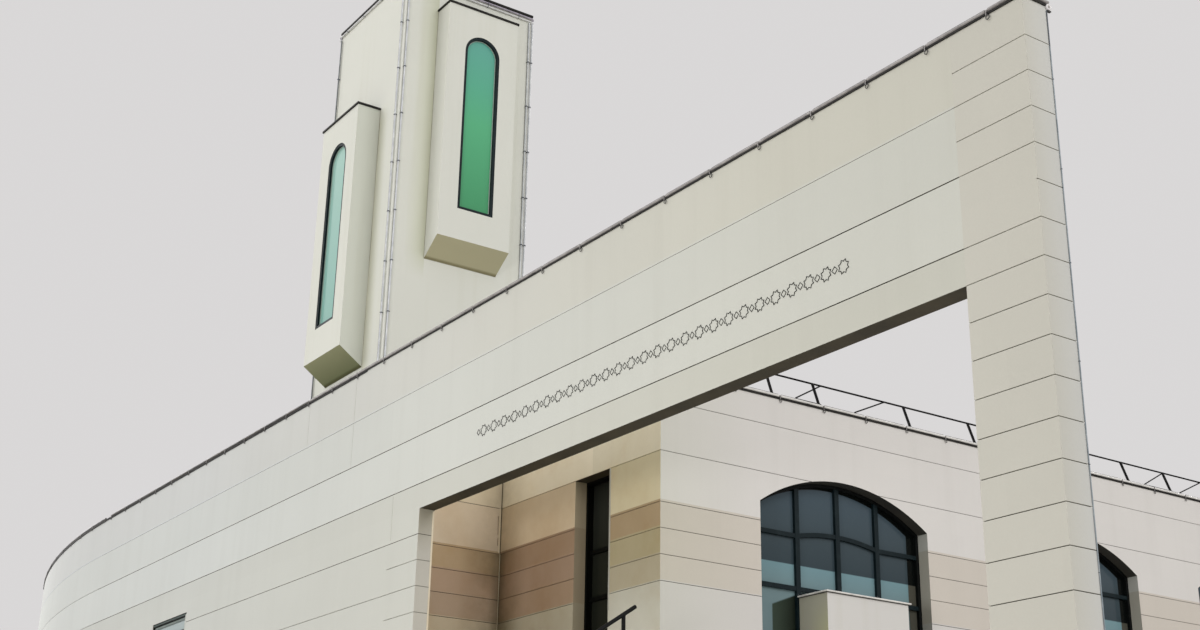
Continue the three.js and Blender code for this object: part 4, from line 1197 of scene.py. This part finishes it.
FRAME_BAR, GLAZING_BEAD = 0.055, 0.015
clear_near, clear_far = light_low.x - 1, light_high.x + 1
oriel_frame = round_headed("right_oriel_ring", light_low.x, body_high.x - 0.008, sides=0.0005)
combine(oriel_frame, round_headed("light_cutter", clear_near, clear_far, FRAME_BAR))
finish_with(trim_edges(oriel_frame, 0.005), frame_coat)
oriel_bead = round_headed("right_oriel_bead", light_high.x - 0.03, light_high.x - 0.014, FRAME_BAR + SEATED)
combine(oriel_bead, round_headed("light_cutter", clear_near, clear_far, FRAME_BAR + GLAZING_BEAD))
finish_with(trim_edges(oriel_bead, 0.003), coated_profile("pale_green_glazing_bead", "#A6B8AD", 0.5, "#BAC8BF"))
oriel_cap = block("right_oriel_cap", (shaft_x, body_low.y - CAP_OUT, body_high.z + SEATED),
                  (body_high.x + CAP_OUT, body_high.y + CAP_OUT, body_high.z + ORIEL_CAP))
finish_with(trim_edges(oriel_cap, 0.004), sheet)
seals = [block(name, (shaft_x, y0, z0), (shaft_x + SEAL, y1, z1)) for name, y0, y1, z0, z1 in (
    ("seal", body_low.y - SEAL, body_low.y, body_low.z, body_high.z),
    ("seal", body_high.y, body_high.y + SEAL, body_low.z, body_high.z),
    ("seal_foot", body_low.y - SEAL, body_high.y + SEAL, body_low.z - SEAL, body_low.z))]
oriel_seal = trim_edges(join_as("right_oriel_seal", seals), 0.004, 1)
finish_with(oriel_seal, joint_sealant("aged_oriel_seal", "#8F8C78", "#C6C4B2"))

ORIEL_PIECES = (
    (oriel, "box", "render", ["body"]), (oriel_frame, "ring", "frame_metal", ["frame"]),
    (oriel_bead, "bead", "frame_metal", []), (oriel_cap, "cap", "coping_metal", []),
    (oriel_seal, "seal", "coping_metal", []))
for side, turn in (("front", -math.pi / 2), ("left", math.pi), ("back", math.pi / 2)):
    side_low, side_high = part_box(f"{side}_oriel_body")
    middle = (side_low + side_high) / 2
    target = Vector({"front": (middle.x, side_high.y, side_high.z), "left": (side_high.x, middle.y, side_high.z),
                     "back": (middle.x, side_low.y, side_high.z)}[side])
    move = target - Matrix.Rotation(turn, 4, "Z") @ Vector((shaft_x, oriel_y, body_high.z))
    for piece, part, slot, nodes in ORIEL_PIECES:
        install(copy_of(piece, f"{side}_oriel_{part}", move, turn), slot, *[f"{side}_oriel_{n}" for n in nodes])
for piece, part, slot, nodes in ORIEL_PIECES:
    install(piece, slot, *[f"right_oriel_{n}" for n in nodes])
GREEN = [(0.0, "#3D9160"), (0.5, "#52AD7C"), (0.72, "#54A98A"), (1.0, "#5CA596")]
for side, high, tones in (("right", 18.31, GREEN), ("left", 18.31, GREEN),
                          ("front", 16.27, [(0.0, "#88B7AC"), (1.0, "#A4CBBF")]), ("back", 16.27, GREEN)):
    green = glass_with_painted_reflection(f"green_{side}_glass", tones, high - GLASS_FOOT, high - GLASS_HEAD)
    refinish(f"{side}_oriel_glass", green)

# the lighting tubes at the corners, each with a thin cable beside it and nine clips: clear plastic that
# reads as pale grey, on the left a duller grey, with dark cables and clips
CORNER_TUBE, STAND_OFF, CLIP_PITCH, TUBE_FOOT, TUBE_HEAD = 0.0155, 0.029, 1.0, 10.0, roof_low.z - 0.06
tube_clear = weathered_tube("clear_plastic_lighting_tube", "#B7BBBF", "#D9DBDC")
tube_dull = weathered_tube("dull_grey_lighting_tube", "#686D6B", "#9A9F9C")
tube_clip_dark = weathered_tube("dark_tube_clip", "#4C4F58", "#777B85")
right_x, front_y, left_x = tower_high.x, tower_low.y, tower_low.x
corner_tubes = {
    "front_right": ((right_x - 0.10, front_y - STAND_OFF), (right_x + STAND_OFF, front_y + 0.04)),
    "right_rear": ((right_x + STAND_OFF, tower_back - 0.06), (right_x + STAND_OFF, tower_back + 0.012)),
    "front_left": ((left_x + 0.03, front_y - STAND_OFF), (left_x - STAND_OFF, front_y + 0.03)),
    "rear_left": ((left_x + 0.1, tower_back + STAND_OFF), (left_x - STAND_OFF, tower_back - 0.04)),
}
for name, spots in corner_tubes.items():
    parts = []
    for x, y in spots:
        tube = rod("corner_tube", (x, y, TUBE_FOOT), (x, y, TUBE_HEAD), CORNER_TUBE, 10)
        beside = x + (0.0135 if abs(x - left_x) < 0.05 else -0.0135)
        cable = rod("corner_cable", (beside, y - 0.009, TUBE_FOOT), (beside, y - 0.009, TUBE_HEAD), 0.006, 6)
        finish_with(tube, tube_dull if "left" in name else tube_clear)
        parts += [tube, finish_with(cable, tube_clip_dark)]
        for i in range(9):
            tube_clip = hook("tube_clip", (x, y, 17.87 - CLIP_PITCH * i), 0.0215, 0.009, (0, 0, 0))
            parts.append(finish_with(tube_clip, tube_clip_dark))
    install(join_as(f"minaret_{name}_tubes", parts, smooth=50), "guard_steel")

# tubes round the head of the shaft, under the cap: two on the right and left faces, one greyed to violet
# and one still white, and one on the others, all in dark clips and the first ones with hooks at their ends
HEAD_Z = 18.88
violet_tube = weathered_tube("violet_grey_head_tube", "#8E8892", "#B5AFB9")
white_tube = weathered_tube("white_head_tube", "#CBCBCC", "#E9E9E7")
head_tubes = []
for x in (right_x + STAND_OFF, left_x - STAND_OFF):
    for z, radius, finish in ((HEAD_Z + 0.008, 0.02, violet_tube), (HEAD_Z - 0.065, 0.015, white_tube)):
        start, end = Vector((x, front_y - 0.01, z)), Vector((x, tower_back + 0.01, z))
        head_tubes.append((rod("head_tube", start, end, radius), finish))
        for y in (start.y - 0.005, end.y + 0.005):
            head_tubes.append((hook("head_hook", (x, y, z - 0.022), 0.022, 0.009), finish))
        for i in range(4):
            place = (x, start.y + 0.35 + i * 0.72, z)
            head_tubes.append((hook("head_clip", place, radius + 0.004, 0.006, UPRIGHT), tube_clip_dark))
for y in (front_y - STAND_OFF, tower_back + STAND_OFF):
    tube = rod("head_tube", (left_x - 0.01, y, HEAD_Z), (right_x + 0.01, y, HEAD_Z), 0.0165)
    head_tubes.append((tube, white_tube))
    for i in range(4):
        head_tubes.append((hook("head_clip", (left_x + 0.3 + i * 0.75, y, HEAD_Z), 0.02, 0.006), tube_clip_dark))
head_parts = [finish_with(piece, finish) for piece, finish in head_tubes]
install(join_as("minaret_head_tubes", head_parts), "guard_steel")

# Side block against the first window: rendered masonry under a thin bent sheet of pale metal. Its left side is
# painted darker as shade, with a green stain towards the corner.

# the height of the dark strip under the sheet, which is painted shadow, the sheet's top, and how far the strip is
# set in
SHADOW_STRIP_HIGH, SHEET_TOP, SHADOW_STRIP_IN = 0.012, 0.036, 0.024


def painted_shade_on_left_face(tree, axes, colour):
    """The face by the portal is darker, which is painted shade, and greenest towards the corner of the block,
    which is a stain.
    """
    left = facing(tree, "Y", -1)
    return lay_stains_and_light(
        tree, axes, colour,
        ((0.62, 0.62, 0.52), left),
        ((1.2, 1.22, 0.9), left, ("X", block_high.x - 0.5, block_high.x), ("Z", 6.45, 5.9)))


block_low, block_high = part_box("side_block_coping")
refinish("side_block", painted_render("white_painted_render", "#CFCDC9", 0.2, painted_shade_on_left_face))
block_cap = block("side_block_sheet", (block_low.x, block_low.y, block_low.z + SHADOW_STRIP_HIGH),
                  (block_high.x, block_high.y, block_low.z + SHEET_TOP))
finish_with(trim_edges(block_cap, 0.006), weathered_tube("zinc_sheet", "#CDCBC7", "#E8E6E1"))
install(block_cap, "coping_metal", "side_block_coping")
# the dark strip under the sheet's edge is painted shade: it stands for the shadow under the sheet
painted_shadow_strip = block("side_block_painted_shadow_strip", (block_low.x, block_low.y + SHADOW_STRIP_IN, block_low.z),
                (block_high.x - SHADOW_STRIP_IN, block_high.y - SHADOW_STRIP_IN, block_low.z + SHADOW_STRIP_HIGH - 0.0002))
install(finish_with(trim_edges(painted_shadow_strip, 0.003, 1), clip_dark), "coping_metal")

# Roof, floor and stair. Fair-faced concrete, the roof with a grey felt membrane, the steps and landing
# with stone treads.

RISER, TREAD, SLAB, NOSING = 4.8 / 28, 0.26, 0.03, 0.02
FELT_LAPS, FELT_WIDE, FELT_HIGH, FELT_LONG = 18, 0.1, 0.006, 16.4
PAVING, PAVING_HIGH, PAVING_EDGE = 0.6, 0.012, 0.004


def fair_concrete(name, code):
    """Fair-faced concrete: grey, dull, cloudy, with fine pores, which are drawn about 18 mm apart."""
    made, tree, shader, place = new_material(name, 0.9)
    cloud = add(tree, "TexNoise", {"Vector": place, "Scale": 1.2, "Detail": 6, "Roughness": 0.6})
    pores = add(tree, "TexVoronoi", {"Vector": place, "Scale": 55})
    tone = add(tree, "Math", {0: cloud.outputs[0], 1: 0.3, 2: 0.82}, operation="MULTIPLY_ADD")
    base = add(tree, "Mix", {0: 1.0, 6: linear(code), 7: tone.outputs[0]}, data_type="RGBA",
               blend_type="MULTIPLY")
    lay_on(tree, shader, base.outputs[2], pores.outputs["Distance"], 0.3, 0.003)
    return made


concrete = fair_concrete("fair_faced_concrete", "#A29F97")
felt = fair_concrete("grey_roof_felt", "#8B8B88")
refinish("upper_floor", concrete)
refinish("roof_slab", felt)
roof_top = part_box("roof_slab")[1].z
lap = block("felt_lap", (bend_start, back_low.y - 0.001, roof_top),
            (bend_start + FELT_WIDE, back_low.y - FELT_LONG, roof_top + FELT_HIGH))
open_edit(lap)
pick(lap, lambda c, n: n.x < -0.5)
bpy.ops.transform.translate(value=(-0.02, 0, 0))
close_edit()
finish_with(lap, felt)
laps = [copy_of(lap, "felt_lap_copy", (i, 0, 0)) for i in range(1, FELT_LAPS)]
install(join_as("roof_felt_laps", [lap] + laps), "concrete")

# limestone with a flamed face: as dull as the walls', in slabs with a tone of their own
tread_stone = limestone("flamed_limestone_treads", [(0.0, "#B9B5A9"), (STONE_TOP, "#B9B5A9")],
                        course=RISER, stone=1.1)


def stair_flight(node, name, first, steps):
    """One flight: the concrete body is extruded step by step, and each step gets a stone tread."""
    low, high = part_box(node)
    start, rise = low.y, RISER * (first + 1)
    body = block(name, (low.x, start + NOSING, 0), (high.x, start + TREAD + NOSING, rise - SLAB))
    open_edit(body)
    for i in range(1, steps):
        end = min(start + TREAD * (i + 1) + NOSING, high.y)
        last = start + TREAD * i + NOSING
        pick(body, lambda c, n: n.y > 0.5 and c.y > last - 0.01)
        bpy.ops.mesh.extrude_region_move(TRANSFORM_OT_translate={"value": (0, end - last, 0)})
        pick(body, lambda c, n: n.z > 0.5 and c.y > last)
        bpy.ops.mesh.extrude_region_move(TRANSFORM_OT_translate={"value": (0, 0, RISER)})
    close_edit()
    install(finish_with(body, concrete), "concrete", node)
    tread = block("tread", (low.x, start, rise - SLAB), (high.x, start + TREAD + NOSING - 0.003, rise))
    trim_edges(tread, 0.006)
    treads = [copy_of(tread, "tread", (0, TREAD * i, RISER * i)) for i in range(1, steps)]
    install(finish_with(join_as(name + "_treads", [tread] + treads), tread_stone), "concrete")


stair_flight("stair_lower_flight", "lower_flight", 0, 14)
stair_flight("stair_upper_flight", "upper_flight", 14, 13)
refinish("stair_landing", concrete)
landing_low, landing_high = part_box("stair_landing")
first_corner = Vector((landing_low.x + PAVING_EDGE, landing_low.y + PAVING_EDGE, landing_high.z))
slab = block("landing_slab", first_corner, first_corner + Vector((PAVING, PAVING, PAVING_HIGH)))
trim_edges(slab, 0.003)
# the landing's slabs leave out the place where the stair comes up
slabs = []
stair_left, stair_end = at_x(-12.4), at_y(1.73)
for i in range(9):
    for j in range(4):
        x, y = landing_low.x + PAVING * i, landing_low.y + PAVING * j
        off_stair = x + PAVING < stair_left or y > stair_end - 0.3 or y + PAVING < stair_end
        if x + PAVING < landing_high.x and off_stair:
            slabs.append(copy_of(slab, "slab_copy", ((PAVING + PAVING_EDGE) * i, (PAVING - 0.001) * j, 0)))
bpy.data.objects.remove(slab)
install(finish_with(join_as("landing_paving", slabs), tread_stone), "concrete")

# Handrails of the stair: round coated steel tube with a rounded end, on posts, with a thin middle rail.
# They follow the slope of the steps, and each post stands on a small round foot.

RAIL_TUBE, RAIL_POST, RAIL_MIDDLE, RAIL_FOOT = 0.029, 0.03, 0.009, 0.05
RAIL_HEIGHT, MIDDLE_HEIGHT = 0.998, 0.5
STAIR_FOOT_Y, RAIL_END_Y, POST_PLACES = -5.29, 1.727, (-5.16, -3.86, -2.56, -1.26, 0.04, 1.52)
# charcoal powder coating, which reads as nearly black against the stone
rail_coat = coated_profile("charcoal_rail_coat", "#070808", 0.5, "#101111")


def on_line(x, y, height):
    """A point at a height above the stair's nosing line."""
    return at(x, y, RISER + (y - STAIR_FOOT_Y) * RISER / TREAD + height)


for side, x in (("right", -9.06), ("left", -12.34)):
    top = trim_edges(rod("top_tube", on_line(x, STAIR_FOOT_Y, RAIL_HEIGHT),
                         on_line(x, RAIL_END_Y, RAIL_HEIGHT), RAIL_TUBE, 20), 0.012, 3)
    parts = [top, rod("middle_tube", on_line(x, POST_PLACES[0], MIDDLE_HEIGHT),
                      on_line(x, POST_PLACES[-1], MIDDLE_HEIGHT), RAIL_MIDDLE, 10)]
    for y in POST_PLACES:
        foot = at(x, y, RISER * (int((y - STAIR_FOOT_Y) / TREAD) + 1) + SEATED)
        parts.append(rod("post", foot, on_line(x, y, 0.99), RAIL_POST, 14))
        parts.append(rod("post_foot", foot, foot + Vector((0, 0, 0.008)), RAIL_FOOT, 16))
    rail = finish_with(join_as(f"stair_{side}_rail", parts, smooth=40), rail_coat)
    install(rail, "rail_steel", f"stair_{side}_handrail")

# Guard rail on the hall's right parapet: galvanised tube coloured a dull brownish black, its posts leaning in
# over the roof, with thin braces down to small plates on the coping.

GUARD_FOOT, GUARD_RAIL, GUARD_BRACE, GUARD_TOP, GUARD_BEND = -9.9, -10.15, -10.02, 10.26, 9.80
GUARD_TUBE, GUARD_POST, BRACE_TUBE, PLATE_HIGH = 0.016, 0.0245, 0.0125, 0.012
POSTS = (4.05, 5.10, 6.12, 8.23, 9.83, 11.93, 14.04, 15.31, 17.40, 19.50)
BRACES = ((5.63, 6.31), (6.95, 7.78), (14.55, 15.32), (15.62, 16.50))
LINKS = ((6.12, 5.63), (15.31, 14.55))
seat = level_top + SEATED
parts = [rod("guard_top", at(GUARD_RAIL, 3.85, GUARD_TOP), at(GUARD_RAIL, 19.70, GUARD_TOP), GUARD_TUBE, 12)]


def plate(name, x, y):
    """A small flat plate on the coping, under a post or a brace."""
    return block(name, at(x - 0.045, y - 0.06, seat), at(x + 0.045, y + 0.06, seat + PLATE_HIGH))


for y in POSTS:
    bend = at(GUARD_FOOT - 0.08, y, GUARD_BEND)
    parts.append(rod("guard_post", at(GUARD_FOOT, y, seat + 0.01), bend, GUARD_POST, 12))
    parts.append(rod("guard_post", bend - Vector((0, 0, 0.006)), at(GUARD_RAIL, y, GUARD_TOP), GUARD_POST, 12))
    parts.append(plate("guard_plate", GUARD_FOOT, y))
for low_y, high_y in BRACES:
    knee = at(GUARD_BRACE, low_y, 9.88)
    parts.append(rod("brace", knee, at(GUARD_RAIL, high_y, GUARD_TOP), BRACE_TUBE, 10))
    parts.append(rod("brace_stub", at(GUARD_BRACE, low_y, seat + 0.006), knee, BRACE_TUBE, 10))
    parts.append(plate("brace_plate", GUARD_BRACE, low_y))
for y, knee_y in LINKS:
    parts.append(rod("brace_link", at(GUARD_BRACE, knee_y, 9.87), at(-9.95, y, 9.84), 0.009, 10))
# the galvanised steel is coloured a dull brownish black
guard = join_as("hall_guard_rail", parts, smooth=40)
finish_with(guard, coated_profile("dull_brownish_black_steel", "#0A0808", 0.6, "#191615"))
install(guard, "guard_steel", "roof_guard_rail")

# Ornament band on the portal beam: a running chain of thin dark metal stars and lozenges, cut from flat
# sheet and pinned to the stone above the opening.

BAND_RIGHT, BAND_LEFT, BAND_Z, BAND_Y = -2.66, -10.95, 8.40, -0.003
STAR, STAR_WAIST, STAR_LINE, LOZENGE, LOZENGE_LINE, METAL = 0.094, 0.72, 0.0085, 0.05, 0.0075, 0.004


def cut_sheet(name, corners, radius, place):
    """A flat sheet of metal with that many corners, upright and parallel to the wall."""
    bpy.ops.object.select_all(action="DESELECT")
    bpy.ops.mesh.primitive_circle_add(vertices=corners, radius=radius, fill_type="NGON",
                                      rotation=(math.pi / 2, 0, 0), location=place)
    return named(name)


def leave_line(piece, width):
    """Cuts the middle out of a flat sheet, so that a line of that width is left along its outline."""
    open_edit(piece)
    pick(piece, lambda c, n: True)
    bpy.ops.mesh.inset(thickness=width)
    bpy.ops.mesh.delete(type="FACE")
    close_edit()


centre = at(BAND_RIGHT - STAR, BAND_Y, BAND_Z)
star = cut_sheet("star", 16, STAR, centre)
open_edit(star, "VERT")
mesh = bmesh.from_edit_mesh(star.data)
for i, corner in enumerate(sorted(mesh.verts, key=lambda v: math.atan2(v.co.z - centre.z, v.co.x - centre.x))):
    corner.select_set(i % 2 == 1)
mesh.select_flush(True)
bmesh.update_edit_mesh(star.data)
bpy.ops.transform.resize(value=(STAR_WAIST, 1, STAR_WAIST), center_override=centre)
close_edit()
leave_line(star, STAR_LINE)
lozenge = cut_sheet("lozenge", 4, LOZENGE, at(BAND_RIGHT - 2 * STAR - LOZENGE, BAND_Y, BAND_Z))
leave_line(lozenge, LOZENGE_LINE)
unit = join_as("ornament_unit", [star, lozenge])
only(unit)
thick = unit.modifiers.new("thickness", "SOLIDIFY")
thick.thickness = METAL
thick.offset = 0
bpy.ops.object.modifier_apply(modifier=thick.name)
pitch = 2 * (STAR + LOZENGE)
number = int((BAND_RIGHT - BAND_LEFT) / pitch)
units = [unit] + [copy_of(unit, "unit", (-pitch * i, 0, 0)) for i in range(1, number)]
band = join_as("beam_ornament_band", units)
install(finish_with(band, coated_profile("dark_ornament_coat", "#23221E", 0.5, "#3B3A35")), "frame_metal")
